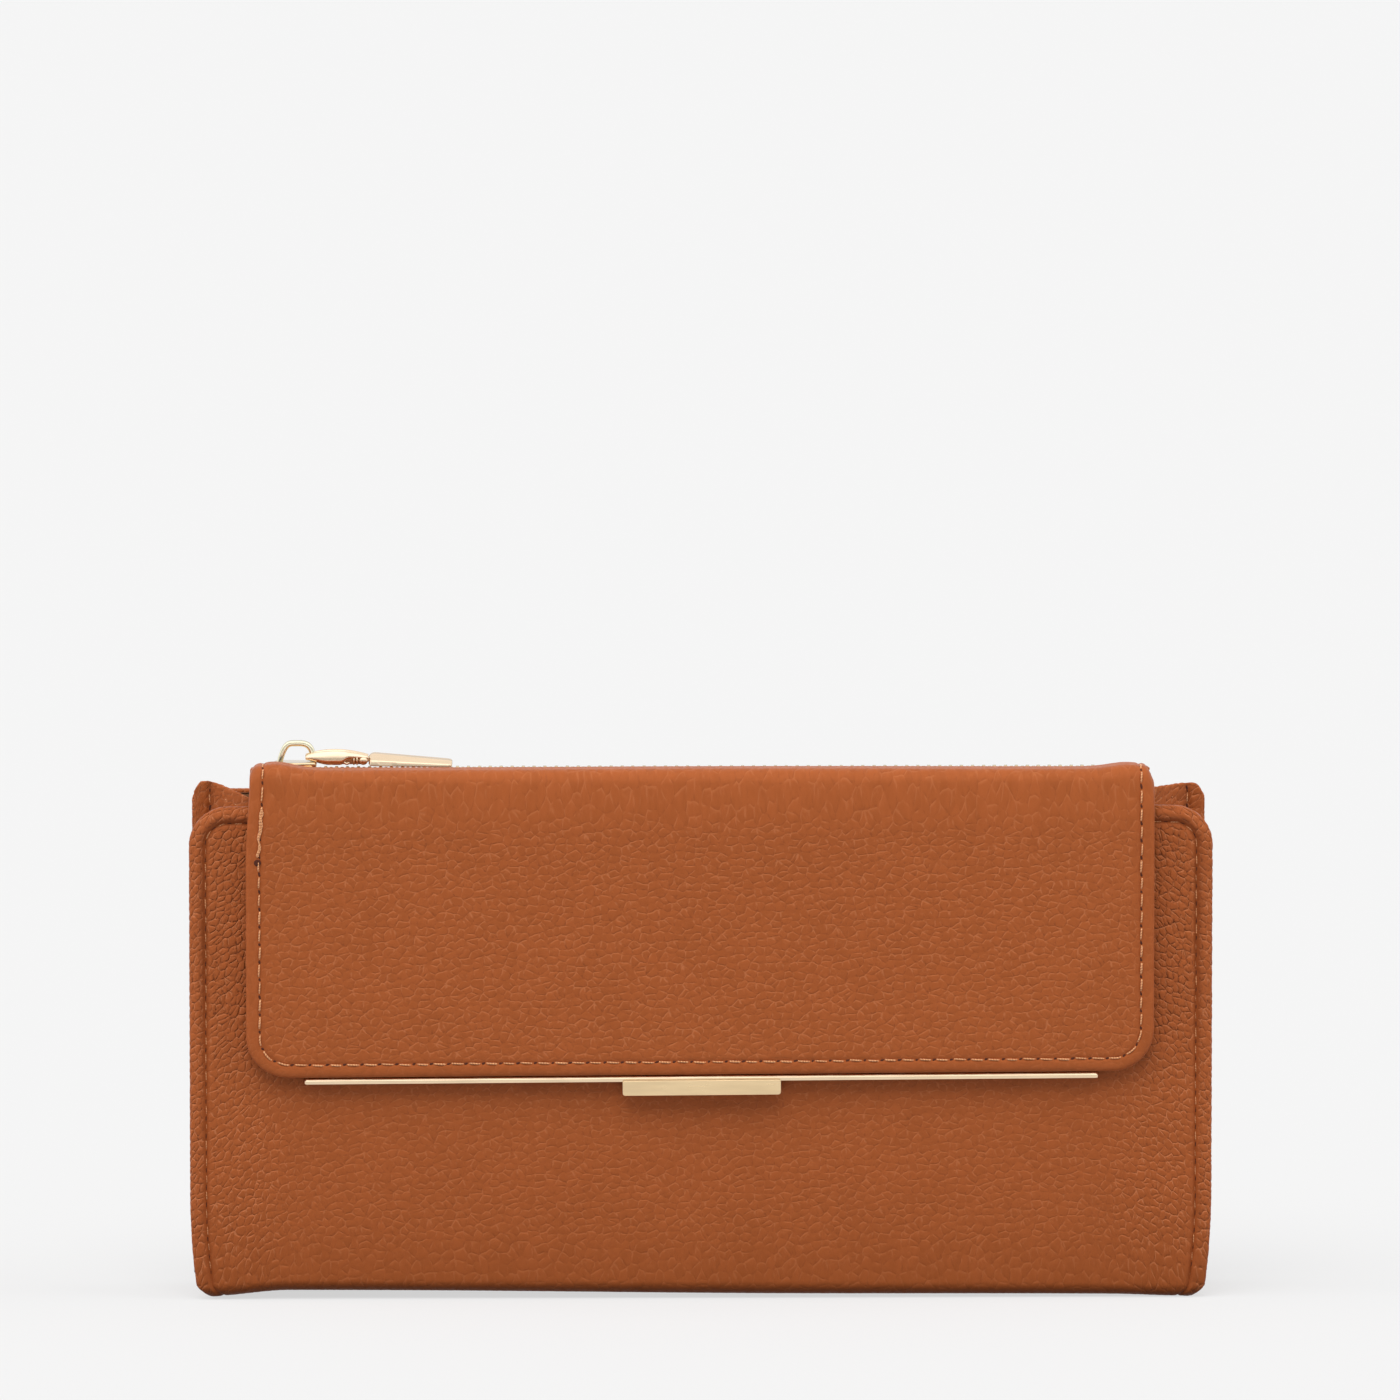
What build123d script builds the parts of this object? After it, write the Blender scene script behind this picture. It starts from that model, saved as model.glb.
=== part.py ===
from build123d import *
import os

# A long zip wallet, closed, standing on its folded base.
# X runs along the wallet, the flap faces -Y, Z is up, and the base rests on Z = 0. Millimetres.

# ---- overall size ----
WIDTH = 195.0            # across the panels at their widest
BASE_WIDTH = 190.8       # across the panels where they meet the base
HALF_DEPTH = 12.7        # from the middle of the base to the outside of each panel
FRONT_TOP = 94.4         # height of the front panel
BACK_TOP = 95.9          # height of the back panel
FOLD_TOP = 101.3         # height of the flap where it rolls over
FLAP_WIDTH = 172.4
FLAP_BOTTOM = 43.35      # height of the flap's lower edge
POUCH_WIDTH = 170.0      # across the coin pouch

# ---- sheet thicknesses ----
LEATHER = 1.0
BOARD = 0.8              # stiffener in the panels and the base
PADDING = 0.7            # soft filler behind the board, and the turned hem beside it
LINING = 0.4
POCKET = 0.4             # one card pocket sheet
WALL = 0.8               # coin pouch wall
COIN_LINING = 0.35
GUSSET = 0.7
FLAP_CORE = 0.7          # board inside the flap, and the turned hem beside it
FLAP_LINING = 0.6
TAPE = 0.6

# ---- outlines ----
FRONT_CORNER_R = 7.5
BACK_CORNER_R = 2.2
TAPER_HEIGHT = 20.0      # the sides draw in towards the base below this height
TAPER_R = 60.0
HEM = 8.0                # width of the leather turned in around a panel
EDGE = 1.0               # leather that wraps a panel's edge
FIT = 0.1                # play of a board inside its turned edge
LINING_INSET = 0.7       # the lining stops this far inside a panel's outline
LEAST_R = 0.6            # smallest corner of an inner layer
OVER = 1.0               # how far a cutter reaches past what it cuts
FAR = 10.0               # half thickness of a profile before it is trimmed
TOUCH = 0.01             # two points closer than this are one corner

# ---- base ----
FOLD_R = 4.0             # outside radius of the fold between base and panel
SPLIT_Z = 4.45           # height of the living hinge between base and panel
SPLIT_GAP = 0.3          # gap between two pieces that a living hinge joins
INNER_LOW = 5.0          # height where a panel's inner layers start
BASE_LINING = 0.5
BOARD_END = 1.5          # the base board stops this far from the base's ends
LINING_END = 1.0
BOARD_SIDE = 0.3         # and this far from the folds
LINING_RISE = 0.5        # the base lining laps onto the folds

# ---- pockets ----
POCKET_HALF = 88.0
POCKET_LOW = 6.0
POCKET_TOP = 84.0        # top of the tallest pocket sheet
POCKET_STEP = 9.0
POCKET_CORNER = 3.0
CARD_POCKETS = 4

# ---- gussets ----
LEAF_END_X = 95.2        # where a leaf starts at the panel's edge
LEAF_FOLD_X = 92.4       # where it leaves the panel
LEAF_TAIL_X = 86.2       # where it reaches the pouch's wall
LEAF_LAST_X = 83.6
LEAF_LIFT = 0.2          # gap below the leaves
FRONT_LEAF = (93.2, 88.0)    # height at the panel's edge and at the pouch
REAR_LEAF = (96.9, 92.4)
MIDDLE_TOP = 92.0
CREASE_OUT = 6.0         # the middle's crease stands this far past the pouch's end
MIDDLE_FOOT = 0.4

# ---- coin pouch and zip ----
POUCH_HALF = 3.2         # inside half depth of the pouch
FLARE_Z = 96.2           # above this the walls lean out to the zip's tapes
TAPE_Z = 99.95           # middle of the zip's thickness
TAPE_OUTER = 6.5         # the tapes' outer edges
TAPE_INNER = 0.95        # the tapes' inner edges
TOOTH_THICK = 2.1
TOOTH_OUTER = 2.1
TOOTH_HEAD = 0.7         # how far a tooth reaches past the chain's middle
TOOTH_WIDTH = 0.95
TOOTH_PITCH = 2.1
TEETH_PER_ROW = 75
CHAIN_START = -77.4
ZIP_END_X = 86.0
SEAM_INNER = 4.2         # inner edges of the strips sewn over the tapes
FLARE_FOOT = 1.1         # width of the wall's lip under a tape
LINING_DROP = 0.5        # the coin lining stops this far below the flare and short of the ends
BINDING = 0.4            # leather folded over the rear tape's edge
BINDING_IN = 5.2
BINDING_OUT = 0.7
BINDING_LOW = 98.2
BINDING_GAP = 0.05
TAB_THICK = 0.8
STOP_LENGTH = 1.1
STOP_GAP = 0.4           # from a top stop to the slider
STOP_INSET = 0.3
END_STOP = 1.6           # length of the stop that joins both rows
TAB_GAP = 2.0            # from the slider to a tab, and from the chain's end to a tab

# ---- slider and pull ----
SLIDER_LEFT = -81.5
SLIDER_RIGHT = -73.3
SLIDER_HALF = 3.6
PLATE = 0.85
CHANNEL = 0.2            # play between the slider's plates and the teeth
SLIDER_TAIL = 0.7        # the slider narrows by this much on each side towards its tail
SLIDER_CORNER = 0.8
SLIDER_ROUND = 0.35
WEDGE_START = 0.2
WEDGE_LENGTH = 3.3
WEDGE_HALF = 0.75
WEDGE_TIP = 0.2
BAIL_WIDTH = 2.2
BAIL_THICK = 0.6
BAIL_TOP = 106.1
BAIL_CORNER = 2.2
BAIL_LEFT = 0.95         # from the slider's nose to the bail's foot
BAIL_RIGHT = 0.2
BAIL_LEAN_LEFT = 1.3     # the legs lean in by this much
BAIL_LEAN_RIGHT = 0.9
LINK_PIVOT = (-75.0, 102.9)
LINK_LENGTH = 12.6       # from the pivot to the tips of the link's fork
LINK_HALF = 2.6
LINK_NOSE_R = 0.5
LINK_NOSE_HALF = 1.7
LINK_SHOULDER = 2.5      # where the link reaches its full width
LINK_TAPER = 9.0         # where it starts to narrow again
LINK_TIP_HALF = 2.0
LINK_CROWN = (6.5, 1.15)
LINK_RISE = (2.0, 0.75)
LINK_BELLY = (8.5, -0.95)
LINK_DIP = (1.9, -0.42)
LINK_TIP = (0.1, -0.2)   # top and underside at the fork's tips
WEB = (7.0, 7.6)         # the bridge between the link's sides
FORK_END = 10.0          # beyond this the fork is open above
FORK_PLAY = 0.15
LINK_GAP = 2.7           # inside width of the link round the bail
PIN = (8.9, -0.5)        # the knuckle's pin, measured from the link's pivot
PIN_R = 0.4
NECK_HALF = 1.1
BAR_SLOPE = 1.9          # degrees that the bar slopes down to its tip
BAR_START = 4.0          # from the pin to the broad part of the bar
BAR_LENGTH = 18.7        # from the pin to the bar's tip
BAR_WIDTH = 5.4
BAR_THICK = 0.7          # half thickness where the broad part starts
BAR_THIN = 0.45          # half thickness at the tip
BAR_TIP = 0.6            # the bar narrows by this much on each side
BAR_TIP_R = 1.6
BAR_SHOULDER_R = 0.9
EYE_PLAY = 0.05
EYE_WALL = 0.43

# ---- flap ----
FLAP_AIR = 1.0           # air between the flap and the front panel
ROLL_R = 8.0             # outside radius of the roll
FLAP_CORNER_R = 8.0
SEAM_Y = -6.7            # where the roll leaves the seam along the zip
ROLL_OVERLAP = 0.2       # the roll ends this far before the seam
LINING_EDGE = 0.5        # the flap's lining stops this far inside its outline

# ---- gold trim ----
TRIM_WIDTH = 151.6
TRIM_DROP = 1.25         # what shows of the bar below the flap
TRIM_FLANGE = 4.6        # what the flap holds of it
TAB_WIDTH = 30.2
TAB_DROP = 3.85
TRIM_SETBACK = 0.35      # the bar stands this far behind the flap's face
TRIM_BACK = 0.2
TRIM_ROUND = 0.3
TRIM_PLAY = 0.03
TRIM_ROOT = 0.5          # the flange starts this far below the flap's edge
TAB_PROUD = 0.45         # the tab stands this far in front of the flap
TAB_CORNER = 0.5
TAB_BEVEL = 0.3
SHANK_R = 0.6
SHANK_PLAY = 0.05
RIVET_HEAD_R = 1.4
RIVET_HEAD = 0.3
RIVET_X = (-64.0, -26.0, 26.0, 64.0)
RIVET_Z = FLAP_BOTTOM + 2.6

# ---- magnetic snap ----
SNAP_Z = 54.0
SNAP_FLANGE_R = 7.0
SNAP_BODY_R = 5.3
STUD_R = 2.1
STUD_DISC_R = 6.2
STUD_DISC = 0.35
STUD_REACH = 0.7         # how far the stud goes into the cup
STUD_PLAY = 0.5
CUP_LIP = 0.5
PADDING_PLAY = 1.2       # the padding clears the snap's body by this much
CORE_PLAY = 0.4
MAGNET_WALL = 0.8        # metal inside the ring magnet, past the stud's play
MAGNET_RIM = 0.3
MAGNET_PLAY = 0.05
GROOVE_DEPTH = 0.1
WASHER = 0.5
WASHER_RIM = 1.0

# Worked out from the values above.
SHEET_IN = HALF_DEPTH - LEATHER                  # inside of the outer leather
BOARD_IN = SHEET_IN - BOARD
PADDING_IN = BOARD_IN - PADDING
LINING_IN = PADDING_IN - LINING
FLAP_BACK = -(HALF_DEPTH + FLAP_AIR)             # the flap's inner face
FLAP_CORE_Y = FLAP_BACK - FLAP_LINING
FLAP_SHEET_Y = FLAP_CORE_Y - FLAP_CORE
FLAP_FRONT = FLAP_SHEET_Y - LEATHER
ROLL_Y = FLAP_FRONT + ROLL_R
ROLL_Z = FOLD_TOP - ROLL_R
TAPE_TOP = TAPE_Z + TAPE / 2
TAPE_UNDER = TAPE_Z - TAPE / 2
TEETH_TOP = TAPE_Z + TOOTH_THICK / 2
TEETH_UNDER = TAPE_Z - TOOTH_THICK / 2
PLATE_TOP = TEETH_TOP + CHANNEL + PLATE
BASE_IN = LEATHER + BOARD + BASE_LINING               # top of the base lining
WALL_OUT = POUCH_HALF + WALL
POUCH_END = POUCH_WIDTH / 2


def slab(face, y_back, y_front):
    """A sheet whose outline lies in X and Z, from y_back forward to y_front."""
    return extrude(Plane.XZ.offset(-y_back) * face, y_back - y_front)


def bar_along_x(face, x_low, x_high):
    """A profile in Y and Z, run along X."""
    return extrude(Plane.YZ.offset(x_low) * face, x_high - x_low)


def upright(face, z_low, z_high):
    """A plan outline, raised from z_low to z_high."""
    return extrude(Plane.XY.offset(z_low) * face, z_high - z_low)


def block(x, y, z):
    """A box given by its low and high x, y and z."""
    size = (x[1] - x[0], y[1] - y[0], z[1] - z[0])
    return Pos(x[0], y[0], z[0]) * Box(*size, align=(Align.MIN, Align.MIN, Align.MIN))


def outline(points):
    return make_face(Polyline(*points, close=True))


def round_corners(face, near, radius):
    """Rounds the corners of a flat outline that lie at the given points."""
    corners = [Vector(*point) for point in near]

    def listed(vertex):
        return any((corner - Vector(vertex.X, vertex.Y)).length < TOUCH for corner in corners)
    return fillet([vertex for vertex in face.vertices() if listed(vertex)], radius)


def panel_face(top, corner_r, inset=0.0, low=SPLIT_Z + SPLIT_GAP / 2):
    """The outline of a panel: sides that draw in towards the base, and rounded top corners."""
    half = WIDTH / 2 - inset
    foot = BASE_WIDTH / 2 - inset
    high = top - inset
    right = [(foot, low), (half, TAPER_HEIGHT), (half, high)]
    face = outline(right + [(-x, z) for x, z in right[::-1]])
    face = round_corners(face, [(half, TAPER_HEIGHT), (-half, TAPER_HEIGHT)], TAPER_R)
    return round_corners(face, [(half, high), (-half, high)], max(corner_r - inset, LEAST_R))


def disc_y(radius, y_back, y_front, x=0.0, z=0.0):
    """A round plate whose axis runs along Y."""
    return slab(Pos(x, z) * Circle(radius), y_back, y_front)


def mirrored(part):
    """The same piece on the other side of the wallet, front for back."""
    return mirror(part, Plane.XZ)


def panel_leather(top, corner_r):
    """A front panel's outer sheet with its edges turned round the board: sheet, edge and hem."""
    full = panel_face(top, corner_r)
    foot = SPLIT_Z + SPLIT_GAP / 2
    sheet = slab(full, -SHEET_IN, -HALF_DEPTH)
    inside_edge = panel_face(top, corner_r, EDGE, low=foot - OVER)
    inside_hem = panel_face(top, corner_r, HEM, low=foot - OVER)
    edge = slab(full - inside_edge, -PADDING_IN, -SHEET_IN)
    hem = slab(inside_edge - inside_hem, -PADDING_IN, -BOARD_IN)
    hem -= block((-WIDTH, WIDTH), (-HALF_DEPTH, 0), (foot - 2 * OVER, INNER_LOW))
    return sheet + edge + hem


def panel_layers(top, corner_r):
    """Board, padding and lining of a front panel."""
    board = slab(panel_face(top, corner_r, EDGE + FIT, low=INNER_LOW), -BOARD_IN, -SHEET_IN)
    padding = slab(panel_face(top, corner_r, HEM + FIT, low=INNER_LOW), -PADDING_IN, -BOARD_IN)
    lining = slab(panel_face(top, corner_r, LINING_INSET, low=INNER_LOW), -LINING_IN, -PADDING_IN)
    return board, padding, lining


def snap_hole(radius, y_back, y_front):
    return disc_y(radius, y_back, y_front, z=SNAP_Z)


def front_panel():
    leather = panel_leather(FRONT_TOP, FRONT_CORNER_R)
    board, padding, lining = panel_layers(FRONT_TOP, FRONT_CORNER_R)
    play = SNAP_BODY_R + FIT
    leather -= snap_hole(play, -SHEET_IN, -HALF_DEPTH)
    board -= snap_hole(play, -BOARD_IN, -SHEET_IN)
    padding -= snap_hole(SNAP_BODY_R + PADDING_PLAY, -PADDING_IN, -BOARD_IN)
    parts = {"front_panel_leather": leather, "front_panel_board": board}
    parts["front_panel_padding"] = padding
    parts["front_panel_lining"] = lining
    return parts


def back_panel():
    board, padding, lining = panel_layers(BACK_TOP, BACK_CORNER_R)
    parts = {"back_panel_leather": mirrored(panel_leather(BACK_TOP, BACK_CORNER_R))}
    parts["back_panel_board"] = mirrored(board)
    parts["back_panel_padding"] = mirrored(padding)
    parts["back_panel_lining"] = mirrored(lining)
    return parts


def pockets():
    """Stepped pocket sheets on the inside of both panels, tallest against the panel."""
    half, low = POCKET_HALF, POCKET_LOW

    def sheet(number):
        top = POCKET_TOP - POCKET_STEP * number
        face = outline([(-half, low), (half, low), (half, top), (-half, top)])
        face = round_corners(face, [(half, top), (-half, top)], POCKET_CORNER)
        outer = -LINING_IN + POCKET * number
        return slab(face, outer + POCKET, outer)

    parts = {f"card_pocket_{n + 1}": sheet(n) for n in range(CARD_POCKETS)}
    parts["slip_pocket_tall"] = mirrored(sheet(0))
    parts["slip_pocket_short"] = mirrored(sheet(1))
    return parts


def base():
    """The folded base: a shallow channel of leather, a board and a lining."""
    wall_top = SPLIT_Z - SPLIT_GAP / 2
    flat = HALF_DEPTH - FOLD_R
    outer = outline([(-HALF_DEPTH, 0), (HALF_DEPTH, 0), (HALF_DEPTH, wall_top), (-HALF_DEPTH, wall_top)])
    outer = round_corners(outer, [(-HALF_DEPTH, 0), (HALF_DEPTH, 0)], FOLD_R)
    over = wall_top + OVER
    inner = outline([(-SHEET_IN, LEATHER), (SHEET_IN, LEATHER), (SHEET_IN, over), (-SHEET_IN, over)])
    inner = round_corners(inner, [(-SHEET_IN, LEATHER), (SHEET_IN, LEATHER)], FOLD_R - LEATHER)
    half = BASE_WIDTH / 2
    leather = bar_along_x(outer - inner, -half, half)
    board_half, board_side = half - BOARD_END, flat - BOARD_SIDE
    lining_half, lining_side = half - LINING_END, flat + LINING_RISE
    board = block((-board_half, board_half), (-board_side, board_side), (LEATHER, LEATHER + BOARD))
    lining = block((-lining_half, lining_half), (-lining_side, lining_side), (LEATHER + BOARD, BASE_IN))
    return {"base_leather": leather, "base_board": board, "base_lining": lining}


def pouch_wall():
    """The pouch's front wall: upright, then leaning out to carry the zip's tape."""
    points = [(-WALL_OUT, BASE_IN), (-POUCH_HALF, BASE_IN), (-POUCH_HALF, FLARE_Z)]
    points += [(-TAPE_OUTER + FLARE_FOOT, TAPE_UNDER), (-TAPE_OUTER, TAPE_UNDER), (-WALL_OUT, FLARE_Z)]
    return bar_along_x(outline(points), -POUCH_END, POUCH_END)


def pouch():
    end = POUCH_END
    lining_in = POUCH_HALF - COIN_LINING
    floor_top = BASE_IN + WALL
    lining_end = end - LINING_DROP
    lining = block((-lining_end, lining_end), (-POUCH_HALF, POUCH_HALF), (floor_top, FLARE_Z - LINING_DROP))
    lining -= block((-end, end), (-lining_in, lining_in), (floor_top + COIN_LINING, FLARE_Z))
    parts = {"pouch_front_wall": pouch_wall(), "pouch_rear_wall": mirrored(pouch_wall())}
    parts["pouch_floor"] = block((-end, end), (-POUCH_HALF, POUCH_HALF), (BASE_IN, floor_top))
    parts["coin_lining"] = lining
    return parts


def folded_strip(points, thick):
    """A plan outline of even thickness along a line of points."""
    half = thick / 2
    left, right = [], []
    for i, point in enumerate(points):
        here = Vector(*point)
        before = Vector(*points[max(i - 1, 0)])
        after = Vector(*points[min(i + 1, len(points) - 1)])
        step_in = (here - before).normalized() if i else (after - here).normalized()
        step_out = (after - here).normalized() if i < len(points) - 1 else step_in
        along = (step_in + step_out).normalized()
        across = Vector(-along.Y, along.X) * (half / along.dot(step_in))
        left.append(here + across)
        right.append(here - across)
    return outline([(v.X, v.Y) for v in left + right[::-1]])


def gusset_leaf(top_outer, top_inner):
    """The front leaf of the left gusset: sewn to the panel, folded in to the pouch's wall."""
    seam_y = -LINING_IN + GUSSET / 2
    tail_y = -WALL_OUT - GUSSET / 2
    points = [(-LEAF_END_X, seam_y), (-LEAF_FOLD_X, seam_y), (-LEAF_TAIL_X, tail_y), (-LEAF_LAST_X, tail_y)]
    leaf = upright(folded_strip(points, GUSSET), BASE_IN + LEAF_LIFT, top_outer)
    inner_x, over = -LEAF_LAST_X + OVER, top_outer + OVER
    slope = outline([(inner_x, top_inner), (-LEAF_END_X, top_outer), (-LEAF_END_X, over), (inner_x, over)])
    return leaf - slab(slope, 0, -HALF_DEPTH)


def gussets():
    """Both gussets. Each is one folded strip: front leaf, a middle that closes the pouch, rear leaf."""
    front = gusset_leaf(*FRONT_LEAF)
    rear = mirrored(gusset_leaf(*REAR_LEAF))
    foot = POUCH_END + MIDDLE_FOOT
    crease = POUCH_END + CREASE_OUT
    middle_line = [(-foot, -POUCH_HALF - GUSSET / 2), (-crease, 0), (-foot, POUCH_HALF + GUSSET / 2)]
    middle = upright(folded_strip(middle_line, GUSSET), BASE_IN, MIDDLE_TOP)
    parts = {}
    for name, part in (("front_leaf", front), ("rear_leaf", rear), ("middle", middle)):
        parts[f"gusset_left_{name}"] = part
        parts[f"gusset_right_{name}"] = mirror(part, Plane.YZ)
    return parts


def tooth(x, side):
    """One metal tooth clamped on a tape's edge; side is -1 in the front row and 1 in the rear."""
    half = TOOTH_WIDTH / 2
    ys = sorted((side * TOOTH_OUTER, -side * TOOTH_HEAD))
    slot = sorted((side * TOOTH_OUTER, side * TAPE_INNER))
    body = block((x - half, x + half), ys, (TEETH_UNDER, TEETH_TOP))
    return body - block((x - half, x + half), slot, (TAPE_UNDER, TAPE_TOP))


def tooth_row(side):
    shift = TOOTH_PITCH / 4 * side
    return Compound([tooth(CHAIN_START + shift + TOOTH_PITCH * (n + 0.5), side) for n in range(TEETH_PER_ROW)])


def zip_chain():
    chain_end = CHAIN_START + TOOTH_PITCH * (TEETH_PER_ROW + 0.5)
    tape = block((-ZIP_END_X, ZIP_END_X), (-TAPE_OUTER, -TAPE_INNER), (TAPE_UNDER, TAPE_TOP))
    stop_x = (SLIDER_LEFT - STOP_GAP - STOP_LENGTH, SLIDER_LEFT - STOP_GAP)
    stop = block(stop_x, (-TOOTH_OUTER, -FIT), (TEETH_UNDER + STOP_INSET, TEETH_TOP - STOP_INSET))
    stop -= block((-ZIP_END_X, 0), (-TOOTH_OUTER, -TAPE_INNER), (TAPE_UNDER, TAPE_TOP))
    end_x = (chain_end, chain_end + END_STOP)
    last = block(end_x, (-TOOTH_OUTER, TOOTH_OUTER), (TEETH_UNDER, TEETH_TOP))
    for ys in ((-TOOTH_OUTER, -TAPE_INNER), (TAPE_INNER, TOOTH_OUTER)):
        last -= block(end_x, ys, (TAPE_UNDER, TAPE_TOP))
    tab_y, tab_z = (-SEAM_INNER, SEAM_INNER), (TAPE_TOP, TAPE_TOP + TAB_THICK)
    tab = block((-ZIP_END_X, SLIDER_LEFT - TAB_GAP), tab_y, tab_z)
    right_tab = block((chain_end + TAB_GAP, ZIP_END_X), tab_y, tab_z)
    parts = {"zip_tape_front": tape, "zip_tape_rear": mirrored(tape)}
    parts["zip_teeth_front"] = tooth_row(-1)
    parts["zip_teeth_rear"] = tooth_row(1)
    parts["zip_top_stops"] = Compound([stop, mirrored(stop)])
    parts["zip_bottom_stop"] = last
    parts["zip_tab_left"] = tab
    parts["zip_tab_right"] = right_tab
    return parts


def zip_edges():
    """The leather strips over the tapes: the flap's seam in front and a binding behind."""
    half = FLAP_WIDTH / 2
    outer = TAPE_OUTER + BINDING_OUT
    strip = block((-half, half), (SEAM_Y + ROLL_OVERLAP, -SEAM_INNER), (TAPE_TOP, TAPE_TOP + LEATHER))
    over = block((-half, half), (BINDING_IN, outer), (TAPE_TOP, TAPE_TOP + BINDING))
    down = block((-half, half), (TAPE_OUTER + BINDING_GAP, outer), (BINDING_LOW, TAPE_TOP))
    return {"flap_seam_strip": strip, "zip_rear_binding": over + down}


def slider():
    """Two plates joined by the wedge between them, with flanges that guide the teeth."""
    length = SLIDER_RIGHT - SLIDER_LEFT
    middle_x = (SLIDER_LEFT + SLIDER_RIGHT) / 2
    tail = SLIDER_HALF - SLIDER_TAIL
    plan = outline([(-length / 2, -SLIDER_HALF), (0, -SLIDER_HALF), (length / 2, -tail), (length / 2, tail),
                    (0, SLIDER_HALF), (-length / 2, SLIDER_HALF)])
    plan = Pos(middle_x, 0) * fillet(plan.vertices(), SLIDER_CORNER)
    hollow = TOOTH_OUTER + CHANNEL
    body = upright(plan, TEETH_UNDER - CHANNEL - PLATE, PLATE_TOP)
    inside = (TEETH_UNDER - CHANNEL, TEETH_TOP + CHANNEL)
    body -= block((SLIDER_LEFT, SLIDER_RIGHT), (-hollow, hollow), inside)
    tape_slot = (TAPE_UNDER - CHANNEL, TAPE_TOP + CHANNEL)
    body -= block((SLIDER_LEFT, SLIDER_RIGHT), (-SLIDER_HALF, SLIDER_HALF), tape_slot)
    wedge = outline([(0, -WEDGE_HALF), (0, WEDGE_HALF), (WEDGE_LENGTH, WEDGE_TIP), (WEDGE_LENGTH, -WEDGE_TIP)])
    wedge = upright(Pos(SLIDER_LEFT + WEDGE_START, 0) * wedge, *inside)
    top_edges = body.faces().sort_by(Axis.Z)[-1].edges()
    body = fillet(top_edges, SLIDER_ROUND) + wedge
    return {"slider_body": body, "slider_bail": bail()}


def bail():
    """The D-shaped arch of flat strip on the slider, which the pull hangs on."""
    foot = PLATE_TOP

    def arch(inset, corner):
        left, right = SLIDER_LEFT + BAIL_LEFT + inset, SLIDER_RIGHT - BAIL_RIGHT - inset
        high = BAIL_TOP - inset
        shoulders = [(left + BAIL_LEAN_LEFT, high), (right - BAIL_LEAN_RIGHT, high)]
        face = outline([(left, foot), shoulders[0], shoulders[1], (right, foot)])
        return round_corners(face, shoulders, corner)

    strip = arch(0, BAIL_CORNER) - arch(BAIL_THICK, BAIL_CORNER - BAIL_THICK)
    return slab(strip, BAIL_WIDTH / 2, -BAIL_WIDTH / 2)


def pull_link():
    """The lens-shaped link: a thin nose round the bail's leg, and a fork that holds the bar's pin."""
    length = LINK_LENGTH
    nose = LINK_NOSE_R
    tip_top, tip_under = (length, LINK_TIP[0]), (length, LINK_TIP[1])
    top = Spline((-nose, 0), LINK_RISE, LINK_CROWN, tip_top)
    under = Spline(tip_under, LINK_BELLY, LINK_DIP, (-nose, 0))
    side = make_face([top, Line(tip_top, tip_under), under]) + Circle(nose)
    right = [(-nose, -LINK_NOSE_HALF), (LINK_SHOULDER, -LINK_HALF), (LINK_TAPER, -LINK_HALF)]
    right.append((length, -LINK_TIP_HALF))
    plan = outline(right + [(x, -y) for x, y in right[::-1]])
    lens = slab(side, FAR, -FAR) & upright(plan, -FAR, FAR)
    lens -= block((nose, WEB[0]), (-LINK_GAP / 2, LINK_GAP / 2), (-FAR, FAR))
    fork = NECK_HALF + FORK_PLAY
    lens -= block((WEB[1], FORK_END), (-fork, fork), (-FAR, nose))
    lens -= block((FORK_END, length + OVER), (-fork, fork), (-FAR, FAR))
    pin = slab(Pos(*PIN) * Circle(PIN_R), fork + 2 * FORK_PLAY, -fork - 2 * FORK_PLAY)
    x, z = LINK_PIVOT
    return Pos(x, 0, z) * (lens + pin)


def pull_bar():
    """The flat tapering bar, with an eye that turns on the link's pin."""
    eye_in = PIN_R + EYE_PLAY
    eye_out = eye_in + EYE_WALL
    end = BAR_LENGTH
    below = [(PIN_R, -BAR_THIN), (BAR_START, -BAR_THICK), (end, -BAR_THIN)]
    side = Circle(eye_out) + outline(below + [(x, -z) for x, z in below[::-1]])
    side -= Circle(eye_in)
    broad = BAR_WIDTH / 2
    tip = broad - BAR_TIP
    right = [(-2 * eye_out, -NECK_HALF), (BAR_START, -NECK_HALF), (BAR_START, -broad), (end, -tip)]
    plan = outline(right + [(x, -y) for x, y in right[::-1]])
    plan = round_corners(plan, [(end, -tip), (end, tip)], BAR_TIP_R)
    plan = round_corners(plan, [(BAR_START, -broad), (BAR_START, broad)], BAR_SHOULDER_R)
    bar = slab(side, FAR, -FAR) & upright(plan, -FAR, FAR)
    x, z = LINK_PIVOT
    return Pos(x + PIN[0], 0, z + PIN[1]) * Rot(0, BAR_SLOPE, 0) * bar


def flap_face(inset=0.0, low=FLAP_BOTTOM, high=ROLL_Z - SPLIT_GAP / 2):
    half = FLAP_WIDTH / 2 - inset
    face = outline([(-half, low + inset), (half, low + inset), (half, high), (-half, high)])
    return round_corners(face, [(-half, low + inset), (half, low + inset)], FLAP_CORNER_R - inset)


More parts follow.
